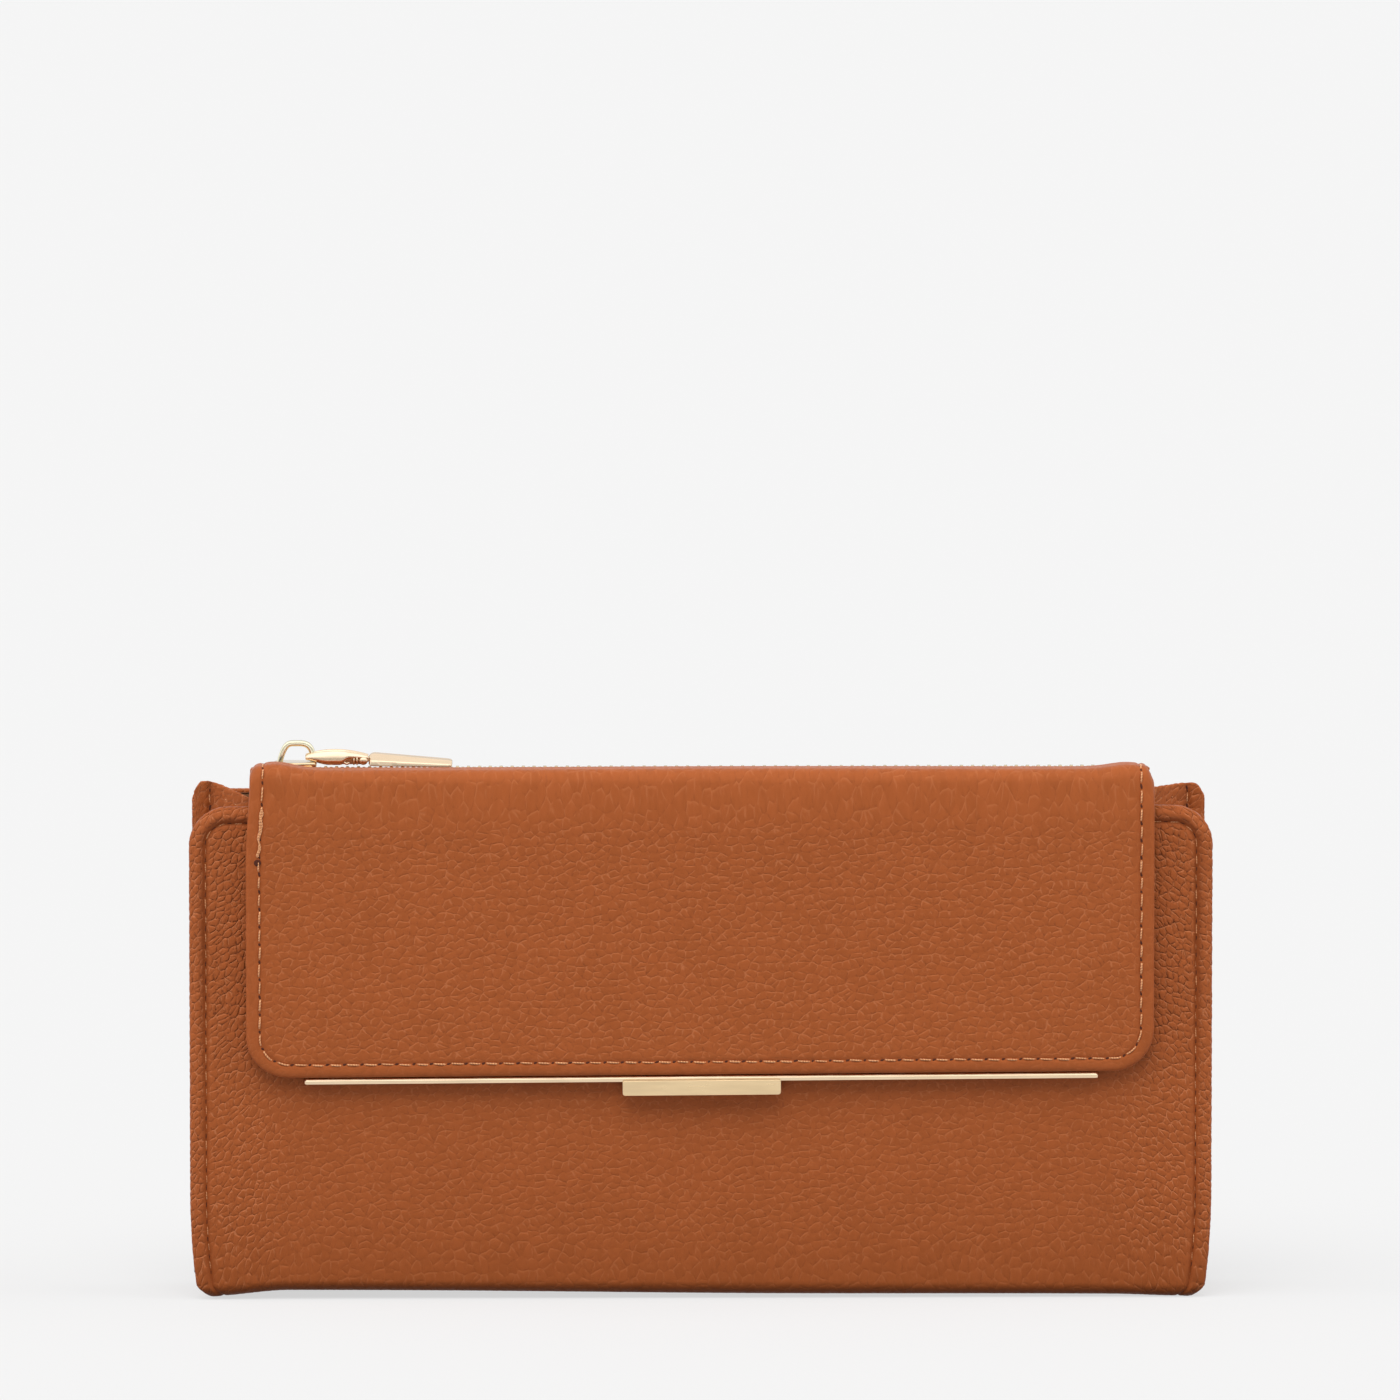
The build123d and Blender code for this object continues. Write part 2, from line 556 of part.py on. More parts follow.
def flap_panel():
    """The hanging part of the flap: leather turned round a board, lining, trim and snap stud."""
    high = ROLL_Z - SPLIT_GAP / 2
    flange_top = FLAP_BOTTOM + TRIM_FLANGE
    slot_half = TRIM_WIDTH / 2 + FIT
    slot = block((-slot_half, slot_half), (FLAP_SHEET_Y, FLAP_CORE_Y), (0, flange_top + FIT))
    hem = slab(flap_face() - flap_face(EDGE, high=high + OVER), FLAP_CORE_Y, FLAP_SHEET_Y) - slot
    leather = slab(flap_face(), FLAP_SHEET_Y, FLAP_FRONT) + hem
    board = slab(flap_face(EDGE + FIT, low=flange_top - EDGE, high=high), FLAP_CORE_Y, FLAP_SHEET_Y)
    board -= snap_hole(SNAP_BODY_R + CORE_PLAY, FLAP_CORE_Y, FLAP_SHEET_Y)
    lining = slab(flap_face(LINING_EDGE, high=high), FLAP_BACK, FLAP_CORE_Y)
    lining -= snap_hole(STUD_R + FIT, FLAP_BACK, FLAP_CORE_Y)
    for x in RIVET_X:
        lining -= disc_y(SHANK_R + FIT, FLAP_BACK, FLAP_CORE_Y, x, RIVET_Z)
    return {"flap_leather": leather, "flap_board": board, "flap_lining": lining}


def flap_roll():
    """The rolled part of the flap: a short flat from the seam, then a quarter turn."""
    cut_low = ROLL_Z + SPLIT_GAP / 2
    flat_start = SEAM_Y - ROLL_OVERLAP
    far_y, far_z = ROLL_Y - 2 * ROLL_R, cut_low + 2 * ROLL_R

    def layer(r_out, r_in):
        ring = Pos(ROLL_Y, ROLL_Z) * (Circle(r_out) - Circle(r_in))
        quarter = ring & outline([(far_y, cut_low), (ROLL_Y, cut_low), (ROLL_Y, far_z), (far_y, far_z)])
        flat = outline([(ROLL_Y, ROLL_Z + r_in), (flat_start, ROLL_Z + r_in), (flat_start, ROLL_Z + r_out),
                        (ROLL_Y, ROLL_Z + r_out)])
        return bar_along_x(quarter + flat, -FLAP_WIDTH / 2, FLAP_WIDTH / 2)

    lining_r = ROLL_R - LEATHER
    return {"roll_leather": layer(ROLL_R, lining_r), "roll_lining": layer(lining_r, lining_r - FLAP_LINING)}


def trim():
    """The gold bar under the flap's edge, its tab, and the rivets through its hidden flange."""
    half = TRIM_WIDTH / 2
    low = FLAP_BOTTOM - TRIM_DROP
    lip_front, lip_back = FLAP_FRONT + TRIM_SETBACK, FLAP_BACK - TRIM_BACK
    lip = block((-half, half), (lip_front, lip_back), (low, FLAP_BOTTOM - TRIM_PLAY))
    lip = fillet(lip.edges().filter_by(Axis.X), TRIM_ROUND)
    flange_y = (FLAP_SHEET_Y + TRIM_PLAY, FLAP_CORE_Y - TRIM_PLAY)
    flange = block((-half + OVER, half - OVER), flange_y, (FLAP_BOTTOM - TRIM_ROOT, FLAP_BOTTOM + TRIM_FLANGE))
    for x in RIVET_X:
        flange -= disc_y(SHANK_R + SHANK_PLAY, FLAP_CORE_Y, FLAP_SHEET_Y, x, RIVET_Z)
    tab_low, tab_top = FLAP_BOTTOM - TAB_DROP, FLAP_BOTTOM - TRIM_PLAY
    tab_half = TAB_WIDTH / 2
    face = outline([(-tab_half, tab_low), (tab_half, tab_low), (tab_half, tab_top), (-tab_half, tab_top)])
    face = fillet(face.vertices(), TAB_CORNER)
    tab = slab(face, lip_front - TRIM_PLAY, FLAP_FRONT - TAB_PROUD)
    tab = chamfer(tab.faces().sort_by(Axis.Y)[0].edges(), TAB_BEVEL)
    root_half = tab_half - TAB_CORNER
    tab += block((-root_half, root_half), (lip_front - FIT, lip_back), (tab_low + TAB_CORNER, low - TRIM_PLAY))
    rivets = []
    for x in RIVET_X:
        shank = disc_y(SHANK_R, FLAP_BACK + TRIM_PLAY, FLAP_SHEET_Y + TRIM_PLAY, x, RIVET_Z)
        rivets.append(shank + disc_y(RIVET_HEAD_R, FLAP_BACK + RIVET_HEAD, FLAP_BACK, x, RIVET_Z))
    return {"trim_bar": lip + flange, "trim_tab": tab, "trim_rivets": Compound(rivets)}


def snap():
    """The magnetic snap: stud on the flap; cup, ring magnet and washer on the front panel."""
    face = -HALF_DEPTH
    back = -BOARD_IN
    cup = snap_hole(SNAP_FLANGE_R, face, face - CUP_LIP) + snap_hole(SNAP_BODY_R, back, face)
    cup -= snap_hole(STUD_R + STUD_PLAY, back - CUP_LIP, face - CUP_LIP)
    groove_front = face + GROOVE_DEPTH
    magnet_in, magnet_out = STUD_R + MAGNET_WALL, SNAP_BODY_R - MAGNET_RIM
    cup -= snap_hole(magnet_out, back, groove_front) - snap_hole(magnet_in, back, groove_front)
    magnet = snap_hole(magnet_out - MAGNET_PLAY, back - FIT, groove_front + MAGNET_PLAY)
    magnet -= snap_hole(magnet_in + MAGNET_PLAY, back - FIT, groove_front + MAGNET_PLAY)
    washer = snap_hole(SNAP_BODY_R + WASHER_RIM, back + WASHER, back)
    stud = snap_hole(STUD_DISC_R, FLAP_BACK + STUD_DISC, FLAP_BACK)
    stud += snap_hole(STUD_R, face + STUD_REACH, FLAP_SHEET_Y + FIT)
    stud += snap_hole(SNAP_BODY_R, FLAP_CORE_Y, FLAP_SHEET_Y + FIT)
    return {"snap_cup": cup, "snap_magnet": magnet, "snap_washer": washer, "snap_stud": stud}


def main():
    parts = {}
    for section in (base, front_panel, back_panel, pockets, pouch, gussets, zip_chain, zip_edges, slider):
        parts.update(section())
    parts["pull_link"] = pull_link()
    parts["pull_bar"] = pull_bar()
    for section in (flap_panel, flap_roll, trim, snap):
        parts.update(section())
    os.makedirs("parts", exist_ok=True)
    for name, part in parts.items():
        export_step(part, f"parts/{name}.step")


main()
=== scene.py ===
import collections
import math

import bmesh
import bpy
import numpy as np
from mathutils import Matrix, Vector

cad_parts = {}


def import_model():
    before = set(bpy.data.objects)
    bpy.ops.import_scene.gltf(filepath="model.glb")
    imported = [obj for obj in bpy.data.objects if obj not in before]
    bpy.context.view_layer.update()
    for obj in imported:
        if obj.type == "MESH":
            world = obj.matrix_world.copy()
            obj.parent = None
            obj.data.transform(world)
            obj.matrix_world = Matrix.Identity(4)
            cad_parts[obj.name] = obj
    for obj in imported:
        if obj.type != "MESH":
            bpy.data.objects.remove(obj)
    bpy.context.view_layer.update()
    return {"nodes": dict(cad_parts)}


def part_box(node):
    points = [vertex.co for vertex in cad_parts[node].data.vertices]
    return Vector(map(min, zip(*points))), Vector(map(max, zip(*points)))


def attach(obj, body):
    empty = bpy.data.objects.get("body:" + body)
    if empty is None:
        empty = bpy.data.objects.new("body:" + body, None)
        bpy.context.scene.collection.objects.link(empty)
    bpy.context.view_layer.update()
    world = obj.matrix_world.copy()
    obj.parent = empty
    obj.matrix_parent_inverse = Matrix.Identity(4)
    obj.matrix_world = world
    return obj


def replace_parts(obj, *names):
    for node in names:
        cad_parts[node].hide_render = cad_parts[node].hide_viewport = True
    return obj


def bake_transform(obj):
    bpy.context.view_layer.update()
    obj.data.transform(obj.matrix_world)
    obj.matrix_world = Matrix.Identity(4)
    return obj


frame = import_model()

# The looks of a long zip wallet round its CAD frame. Lengths are millimetres until a mesh is made.
# A sheet of leather is laid out as (x, s, h): across the wallet, along the sheet, above its outer face.

MM = 0.001
RANDOM = np.random.default_rng(7)


def cad(name):
    """A CAD node's low and high corner."""
    low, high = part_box(name)
    return np.array(low) / MM, np.array(high) / MM


# ---- places taken from the frame ----
PANEL_LOW, PANEL_HIGH = cad("front_panel_leather")
PANEL_HALF, FRONT_Y, FRONT_TOP, FRONT_BACK = PANEL_HIGH[0], PANEL_LOW[1], PANEL_HIGH[2], PANEL_HIGH[1]
BACK_TOP = cad("back_panel_leather")[1][2]
FLAP_LOW, FLAP_HIGH = cad("flap_leather")
FLAP_HALF, FLAP_Y, FLAP_EDGE_Z, FLAP_IN = FLAP_HIGH[0], FLAP_LOW[1], FLAP_LOW[2], FLAP_HIGH[1]
LINING_Y = cad("flap_lining")[1][1]
ROLL_TOP = cad("roll_leather")[1][2]
SEAM_Y = cad("flap_seam_strip")[0][1]
TAPE_TOP = cad("zip_tape_front")[1][2]
TEETH_LOW, TEETH_HIGH = cad("zip_teeth_front")
STOP_LOW, STOP_HIGH = cad("zip_bottom_stop")
SLIDER_LOW, SLIDER_HIGH = cad("slider_body")
BAIL_LOW, BAIL_HIGH = cad("slider_bail")
BAR_LOW, BAR_HIGH = cad("trim_bar")
TAB_LOW, TAB_HIGH = cad("trim_tab")
LINING_IN = cad("front_panel_lining")[1][1]
WALL_Y = -cad("gusset_left_front_leaf")[1][1]    # the pouch's wall, where the gussets are sewn to it
PANEL_OF = {"front": "front_panel", "rear": "back_panel"}

# ---- driving sizes of the looks ----
FOLD_R = 2.6            # fold between base and panel
ROLL_R = 8.0            # roll of the flap
SIDE_DRAW, SIDE_DRAW_Z = 1.5, 20.0  # the panels' sides draw in this much towards the base, below this height
FOOT_TUCK = 1.7         # and by this much more round the fold
LEAN_IN, LEAN_IN_Z = 1.1, 20.0      # the panels lean in towards their foot
FRONT_CORNER, BACK_CORNER, FLAP_CORNER = 7.5, 2.2, 8.0
PANEL_SEAM = 3.05       # stitches in from a panel's edge
FLAP_SEAM = 2.5
CELL = 0.42             # spacing of a sheet's mesh
PEBBLE = 1.4            # size of the leather's pebbles
PITCH, THREAD_R = 3.3, 0.17         # from one stitch to the next, and the thread's radius
BASE_LIFT = 0.8         # the middle of the base stands this high off the floor
TURN_R = 3.2            # the flap turns over tightly at its top,
LEAN, LEAN_R = math.radians(12), 45.0   # then leans forward a little and eases into its straight front
FLAP_FLAT = SEAM_Y - FLAP_Y - TURN_R * math.cos(LEAN) - LEAN_R * (1 - math.cos(LEAN))
LEAN_START = FLAP_FLAT + TURN_R * (math.pi / 2 - LEAN)
LEAN_END = LEAN_START + LEAN_R * LEAN
FLAP_CUT = SEAM_Y - (FLAP_Y + ROLL_R)   # the flap's mesh is in two pieces, parted here
FLAP_TILT = 0.0062      # the flap's lower edge rises this much per millimetre to the right
REAR_DIP = 0.9          # the zip's rear tape dips this much towards its seam
TAPE_HALF = 0.28        # half thickness of the tapes
TAPE_MIDDLE = TAPE_TOP - 0.3
POUCH_IN, POUCH_WALL = 3.2, 0.8     # inner face of the pouch's walls, and their thickness
TOOTH_PITCH, TOOTH_WIDTH, TEETH_PER_ROW = 2.1, 0.95, 75
LINK_PIVOT, LINK_LENGTH, PIN = (-75.0, 102.9), 11.8, (8.9, -0.5)
BAR_LENGTH, BAR_SLOPE, BAR_ROLL = 18.7, 3.2, 4.0
RIVET_X = (-64.0, -26.0, 26.0, 64.0)
SNAP_Z, CUP_HOLE = 54.0, 4.0        # height of the snap, and radius of the leather's hole under its cup
LEAF_SEAM_X = 94.0      # the seams that sew the gussets to the panels
LEAF_FOOT = 2.6         # the gussets' meshes start at this height


# ---------------------------------------------------------------- nodes

def node(tree, kind, sockets=None, **settings):
    """Adds a node. Sockets are given as a value or as the wire that feeds them."""
    made = tree.nodes.new(kind)
    for key, value in settings.items():
        setattr(made, key, value)
    for key, value in (sockets or {}).items():
        if isinstance(value, Wire):
            tree.links.new(value.socket, made.inputs[key])
        else:
            made.inputs[key].default_value = value
    return made


def wire(tree, kind, sockets=None, output=0, **settings):
    """Adds a node and returns one of its outputs."""
    return Wire(node(tree, kind, sockets, **settings).outputs[output])


class Wire:
    """An output of a node. Arithmetic with it adds Math nodes."""

    def __init__(self, socket):
        self.socket, self.tree = socket, socket.id_data

    def beside(self, output):
        """Another output of the same node."""
        return Wire(self.socket.node.outputs[output])

    def maths(self, operation, other):
        return wire(self.tree, "ShaderNodeMath", {0: self, 1: other}, operation=operation)

    def __add__(self, other):
        return self.maths("ADD", other)

    def __sub__(self, other):
        return self.maths("SUBTRACT", other)

    def __mul__(self, other):
        return self.maths("MULTIPLY", other)


def vector(operation, a, b=None, output=0):
    """A wire of vectors, reckoned with another, a vector or a scale."""
    sockets = {0: a} if b is None else {0: a, "Scale" if operation == "SCALE" else 1: b}
    return wire(a.tree, "ShaderNodeVectorMath", sockets, output, operation=operation)


def ramp(value, low, high, to_low=0.0, to_high=1.0):
    """Turns low..high smoothly into to_low..to_high."""
    sockets = {"Value": value, "From Min": low, "From Max": high, "To Min": to_low, "To Max": to_high}
    return wire(value.tree, "ShaderNodeMapRange", sockets, interpolation_type="SMOOTHSTEP")


def mix(share, a, b):
    """One colour turned into another by a share."""
    return wire(share.tree, "ShaderNodeMix", {0: share, 6: a, 7: b}, 2, data_type="RGBA")


def noise(where, scale, detail, output=0, flat=False):
    """Soft noise about 0.5; flat noise is the same all along Z."""
    sockets = {"Vector": where, "Scale": scale, "Detail": detail}
    return wire(where.tree, "ShaderNodeTexNoise", sockets, output, noise_dimensions="2D" if flat else "3D")


def blotches(where, size, detail=2.0):
    """Soft noise about 0.5, with patches of a size in millimetres."""
    return noise(where, 1 / size, detail, flat=True)


def pebbles(where):
    """Pebbled leather at a place in millimetres: height of the pebbles, strength of the creases, how far
    towards a pebble's upper rim the place lies, and a value of each pebble's own."""
    flat = vector("MULTIPLY", where, (0.8, 1.0, 1.0))
    wander = vector("SUBTRACT", noise(flat, 0.45, 1.0, "Color", flat=True), (0.5, 0.5, 0.5))
    shifted = vector("ADD", flat, vector("SCALE", wander, 0.8))

    def cells(size, output, feature="F1"):
        sockets = {"Vector": shifted, "Scale": 1 / size}
        return wire(where.tree, "ShaderNodeTexVoronoi", sockets, output, feature=feature,
                    voronoi_dimensions="2D")
    edge, small_edge = (cells(size, "Distance", "DISTANCE_TO_EDGE") for size in (PEBBLE, PEBBLE * 0.55))
    patches = ramp(blotches(where, 4.0), 0.4, 0.6)
    height = ramp(edge, 0.0, 0.3) - ramp(small_edge, 0.0, 0.3, 1.0, 0.0) * patches * 0.2
    thin = ramp(small_edge, 0.0, 0.26, 1.0, 0.0) * patches
    crease = ramp(edge, 0.0, 0.19, 1.0, 0.0).maths("MAXIMUM", thin * 0.35)
    own = cells(PEBBLE, "Color")
    outward = vector("SUBTRACT", shifted, own.beside("Position"))
    upper = vector("DOT_PRODUCT", outward, (-0.35 / PEBBLE, 0.94 / PEBBLE, 0.0), "Value")
    return height, crease, upper, own


# ---------------------------------------------------------------- meshes

def smooth(value, low, high):
    """0 up to low, 1 from high on, and a soft step between."""
    t = np.clip((value - low) / (high - low), 0, 1)
    return t * t * (3 - 2 * t)


def stacked(*parts):
    """Parts of any matching shapes, joined as the last axis of an array."""
    return np.stack(np.broadcast_arrays(*parts), -1)


def turns(count):
    """Angles of a full turn."""
    return np.linspace(0, 2 * math.pi, count, endpoint=False)


def quads(rows, cols, wrap=False, flip=False):
    """Faces of a grid of points, row by row. Wrap joins the last column to the first."""
    r, c = np.meshgrid(np.arange(rows - 1), np.arange(cols - (not wrap)), indexing="ij")
    a, b = r * cols + c, r * cols + (c + 1) % cols
    faces = np.stack([a, b, b + cols, a + cols], -1).reshape(-1, 4)
    return faces[:, ::-1] if flip else faces


def make(name, points, faces, material, grain=None, relief=None, worn=None):
    """A mesh piece from points in millimetres."""
    mesh = bpy.data.meshes.new(name)
    points = np.asarray(points, float).reshape(-1, 3)
    mesh.from_pydata((points * MM).tolist(), [], faces if isinstance(faces, list) else faces.tolist())
    corner = np.empty(len(mesh.loops), int)
    mesh.loops.foreach_get("vertex_index", corner)
    if grain is None:
        grain = points[:, [0, 2]]
    uv = mesh.uv_layers.new(name="grain")
    uv.data.foreach_set("uv", np.asarray(grain, np.float32).reshape(-1, 2)[corner].ravel())
    for label, values in (("relief", relief), ("worn", worn)):
        if values is not None:
            attribute = mesh.attributes.new(label, "FLOAT", "POINT")
            attribute.data.foreach_set("value", np.asarray(values, np.float32).ravel())
    mesh.shade_smooth()
    mesh.materials.append(material)
    piece = bpy.data.objects.new(name, mesh)
    bpy.context.scene.collection.objects.link(piece)
    return piece


Skin = collections.namedtuple("Skin", "points faces grain relief worn along")


def skin_piece(name, skin, material):
    return make(name, skin.points, skin.faces, material, skin.grain, skin.relief, skin.worn)


def emboss(points, faces, grain, relief, depth):
    """Lifts the pebbles of the grain out of a mesh and returns its points."""
    piece = make("embossing", points, faces, None, grain, relief)
    tree = bpy.data.node_groups.new("emboss", "GeometryNodeTree")
    for direction in ("INPUT", "OUTPUT"):
        tree.interface.new_socket("Geometry", in_out=direction, socket_type="NodeSocketGeometry")
    where, share = (wire(tree, "GeometryNodeInputNamedAttribute", {"Name": name}, "Attribute", data_type=kind)
                    for name, kind in (("grain", "FLOAT_VECTOR"), ("relief", "FLOAT")))
    height = (pebbles(where)[0] - 0.7) * (share * (depth * MM))
    lift = vector("SCALE", wire(tree, "GeometryNodeInputNormal"), height)
    sockets = {"Geometry": wire(tree, "NodeGroupInput"), "Offset": lift}
    node(tree, "NodeGroupOutput", {0: wire(tree, "GeometryNodeSetPosition", sockets)})
    piece.modifiers.new("emboss", "NODES").node_group = tree
    evaluated = piece.evaluated_get(bpy.context.evaluated_depsgraph_get())
    found = np.empty(len(points) * 3, np.float32)
    evaluated.data.vertices.foreach_get("co", found)
    bpy.data.objects.remove(piece)
    bpy.data.node_groups.remove(tree)
    return found.reshape(-1, 3).astype(float) / MM


# ---------------------------------------------------------------- sheets of leather

def run_end(start, length, radius, sine=math.sin, cosine=math.cos):
    """The place and heading at the end of a straight or round run that starts at (y, z, heading)."""
    y, z, turn = start
    if not radius:
        return y + length * math.cos(turn), z + length * math.sin(turn), turn + 0 * length
    after = turn + length / radius
    return y + radius * (sine(after) - math.sin(turn)), z - radius * (cosine(after) - math.cos(turn)), after


def bent_line(start, heading, runs, side):
    """A line in Y and Z of (length, radius) runs, radius 0 being straight and a negative one turning right.
    Returns a function from distances along it to places and outward normals."""
    pieces, here, along = [], (*start, math.radians(heading)), 0.0
    for length, radius in runs:
        pieces.append((along, here, radius))
        here, along = run_end(here, length, radius), along + length

    def at(s):
        s = np.asarray(s, float)
        place, normal = np.zeros(s.shape + (2,)), np.zeros(s.shape + (2,))
        for n, (from_s, begin, radius) in enumerate(pieces):
            past = s >= from_s if n else np.ones(s.shape, bool)
            y, z, turn = run_end(begin, (s - from_s)[past], radius, np.sin, np.cos)
            place[past] = stacked(y, z)
            normal[past] = side * stacked(-np.sin(turn), np.cos(turn))
        return place, normal
    return at


class Sheet:
    """A sheet with an open end at s = 0 and rounded corners at its far end."""

    def __init__(self, line, half, end, corner, settle, rates, flip, fan=0.0, upward=1):
        self.line, self.half, self.end, self.corner = line, half, end, corner
        self.settle, self.rates, self.flip, self.fan, self.upward = settle, rates, flip, fan, upward

    def place(self, x, s, h):
        place, normal = self.line(s)
        lifted = place + np.asarray(h, float)[..., None] * normal
        return self.settle(stacked(x, lifted[..., 0], lifted[..., 1]))

    def inset(self, x, s):
        """Distance in from the outline."""
        across, along = self.half(s) - np.abs(x), self.end - s
        rounded = self.corner - np.hypot(self.corner - across, self.corner - along)
        in_corner = (across < self.corner) & (along < self.corner)
        return np.where(in_corner, rounded, np.minimum(across, along))

    def limit(self, s, d):
        """Half width at s of the outline moved in by d."""
        r = max(self.corner - d, 0.0)
        short = np.clip(r - (self.end - d - s), 0, r)
        return self.half(s) - d - r + np.sqrt(np.maximum(r * r - short * short, 0))

    def contour(self, d, start=0.0, step=0.45):
        """The outline moved in by d, from the left side's open end round to the right side's."""
        radius, r = max(self.corner, d), max(self.corner - d, 0.0)
        s_side = np.minimum(np.arange(start, self.end - self.corner, step), self.end - radius)
        steps = max(int(self.corner * math.pi / 2 / step) + 1, 6)
        angle = np.linspace(0, math.pi / 2, steps)
        half = float(self.half(np.array(self.end)))
        x_arc = -(half - radius) - r * np.cos(angle)
        s_arc = self.end - radius + r * np.sin(angle)
        count = int((half - self.corner) * 2 / step)
        x_top = np.linspace(-(half - self.corner), half - self.corner, count)[1:-1]
        x_top = np.clip(x_top, -(half - radius), half - radius)
        x = [-(self.half(s_side) - d), x_arc, x_top, -x_arc[::-1], self.half(s_side[::-1]) - d]
        s = [s_side, s_arc, np.full(len(x_top), self.end - d), s_arc[::-1], s_side[::-1]]
        return np.concatenate(x), np.concatenate(s)

    def grain_at(self, x, s):
        """Grain coordinates, upward positive. Along the sheet they run at its own rate, so that a rate below
        1 stretches the grain, and towards the sides they fan down, so that the pebbles lean outward."""
        steps = np.linspace(-12, self.end + 12, 800)
        rate = self.rates(steps)
        total = np.concatenate([[0], np.cumsum((rate[1:] + rate[:-1]) / 2 * np.diff(steps))])
        wide = np.linspace(0, 110, 400)
        lean = np.cumsum(self.fan * smooth(wide, 70, 90)) * wide[1]
        narrow = np.cumsum(1 + 0.75 * self.fan * smooth(wide, 66, 84)) * wide[1]
        v = self.upward * np.interp(s, steps, total) + np.interp(np.abs(x), wide, lean)
        return stacked(np.sign(x) * np.interp(np.abs(x), wide, narrow), v)


def edge_section(seam, thick, round_r=0.55, plump=0.06, groove=0.0):
    """(inset, height) along the margin: from the seam's groove over the margin and round the edge, and back
    inside."""
    past, inner, inside_r = seam + 0.75, seam - 0.28, 0.5
    section = [(past, -0.5 - groove), (seam + 0.35, -0.26 - 0.9 * groove), (seam + 0.05, -0.16 - groove),
               (inner, -0.04 - 0.35 * groove)]
    for share in (0.15, 0.32, 0.5, 0.68, 0.85):
        at = 0.12 + 0.76 * share
        section.append((inner * (1 - share) + round_r * share, plump * math.sin(math.pi * at)))
    for angle in np.radians((12, 30, 48, 66, 82, 90)):
        section.append((round_r * (1 - math.sin(angle)), -round_r * (1 - math.cos(angle))))
    section += [(0.0, -thick * 0.6), (0.0, -thick + inside_r)]
    for angle in np.radians((25, 50, 75, 90)):
        section.append((inside_r * (1 - math.cos(angle)), -thick + inside_r * (1 - math.sin(angle))))
    return section + [(seam * 0.6, -thick), (past, -thick), (past, -0.5 - groove)]


def evenly(s):
    """The whole effect everywhere along a sheet."""
    return 1 + 0 * s


class Finish:
    """How a sheet is worked: its seam and thickness, how deep the grain is embossed, and how much more at the
    sides and on the margin, its gentle swell, the mesh's spacing, and how dark the painted shade along the
    seam is. Quiet is the share of the grain's relief along the sheet, and calm that of the groove and the
    plump margin."""

    def __init__(self, seam, thick, depth, side_relief=0.0, margin_relief=0.22, swell=0.12, cell=CELL,
                 quiet=evenly, dark=0.0, calm=evenly, **edge):
        self.seam, self.thick, self.depth, self.side_relief = seam, thick, depth, side_relief
        self.margin_relief, self.swell, self.cell, self.quiet = margin_relief, swell, cell, quiet
        self.dark, self.calm, self.edge = dark, calm, edge


def sheet_face(sheet, finish):
    """The grid of a sheet's outer face: x, s, distance in from the outline, height and relief."""
    seam, cell = finish.seam, finish.cell
    s_rows = np.linspace(0, sheet.end - seam + 0.3, int((sheet.end - seam) / cell))
    half = float(np.max(sheet.half(s_rows)))
    s, x = np.meshgrid(s_rows, np.linspace(-half, half, int(2 * half / cell)), indexing="ij")
    room = sheet.limit(s, seam - 0.3)
    x = np.clip(x, -room, room)
    d = sheet.inset(x, s)
    groove = 0.36 + finish.edge.get("groove", 0.0) * finish.calm(s)
    h = -groove * (1 - smooth(d, seam - 0.3, seam + 0.75))
    h += finish.swell * np.sin(x / 21 + 1.1) * np.sin(s / 15 + 0.6) * smooth(d, seam, seam + 12)
    relief = 0.15 + 0.85 * smooth(d, seam, seam + 1.8)
    upper = 0.3 + 0.7 * smooth(s, 0.45 * sheet.end, 0.7 * sheet.end)
    relief *= (1 + finish.side_relief * upper * smooth(np.abs(x), half - 22, half - 10)) * finish.quiet(s)
    return x, s, d, h, relief


def sheet_margin(sheet, finish):
    """The grid of the margin that wraps an edge: x, s, inset, height, relief, and reach over the edge."""
    seam, thick = finish.seam, finish.thick
    section = edge_section(seam, thick, **finish.edge)
    xs, ss = zip(*[sheet.contour(inset, 0.0, max(finish.cell, 0.45)) for inset, _ in section])
    xs, ss = np.array(xs), np.array(ss)
    inset = np.array([i for i, _ in section])[:, None]
    flat = edge_section(seam, thick, finish.edge.get("round_r", 0.55), 0.0)
    hs, low = (np.array([height for _, height in part])[:, None] for part in (section, flat))
    hs = low + (hs - low) * finish.calm(ss)
    over = np.sign(xs) * np.maximum(-hs - 0.1, 0) * (inset < seam)
    relief = finish.margin_relief * smooth(seam - inset, 0.2, 0.8) * finish.quiet(ss)
    return xs, ss, inset, hs, relief, over


def joined(shape, *parts):
    """Values of several grids in one array, each made into rows of a shape."""
    return np.concatenate([np.asarray(part).reshape(shape) for part in parts])


def sheet_mesh(sheet, finish):
    """The outer face with its pebbles, and the margin that wraps its edge, as a skin."""
    seam = finish.seam
    x, s, d, h, relief = sheet_face(sheet, finish)
    xs, ss, inset, hs, margin, over = sheet_margin(sheet, finish)
    points = joined((-1, 3), sheet.place(x, s, h), sheet.place(xs, ss, hs))
    faces = np.concatenate([quads(*x.shape, flip=sheet.flip), quads(*xs.shape, flip=sheet.flip) + x.size])
    grain = joined((-1, 2), sheet.grain_at(x, s), sheet.grain_at(xs + over, ss))
    relief = joined(-1, relief, margin)
    along = joined(-1, s, ss)
    depth_in = joined(-1, d, inset + 0 * ss)
    outside = joined(-1, h, hs) > -1.2
    # Painted shade: the colour darkens over the seam's groove and the margin's inner flank, weaker towards
    # the sheet's open end.
    dark = smooth(depth_in, seam - 1.9, seam - 0.4) * (1 - smooth(depth_in, seam + 0.1, seam + 0.9)) * outside
    dark *= finish.dark * (0.2 + 0.8 * smooth(along, 0.45 * sheet.end, 0.75 * sheet.end))
    return Skin(emboss(points, faces, grain, relief, finish.depth), faces, grain, relief, dark, along)


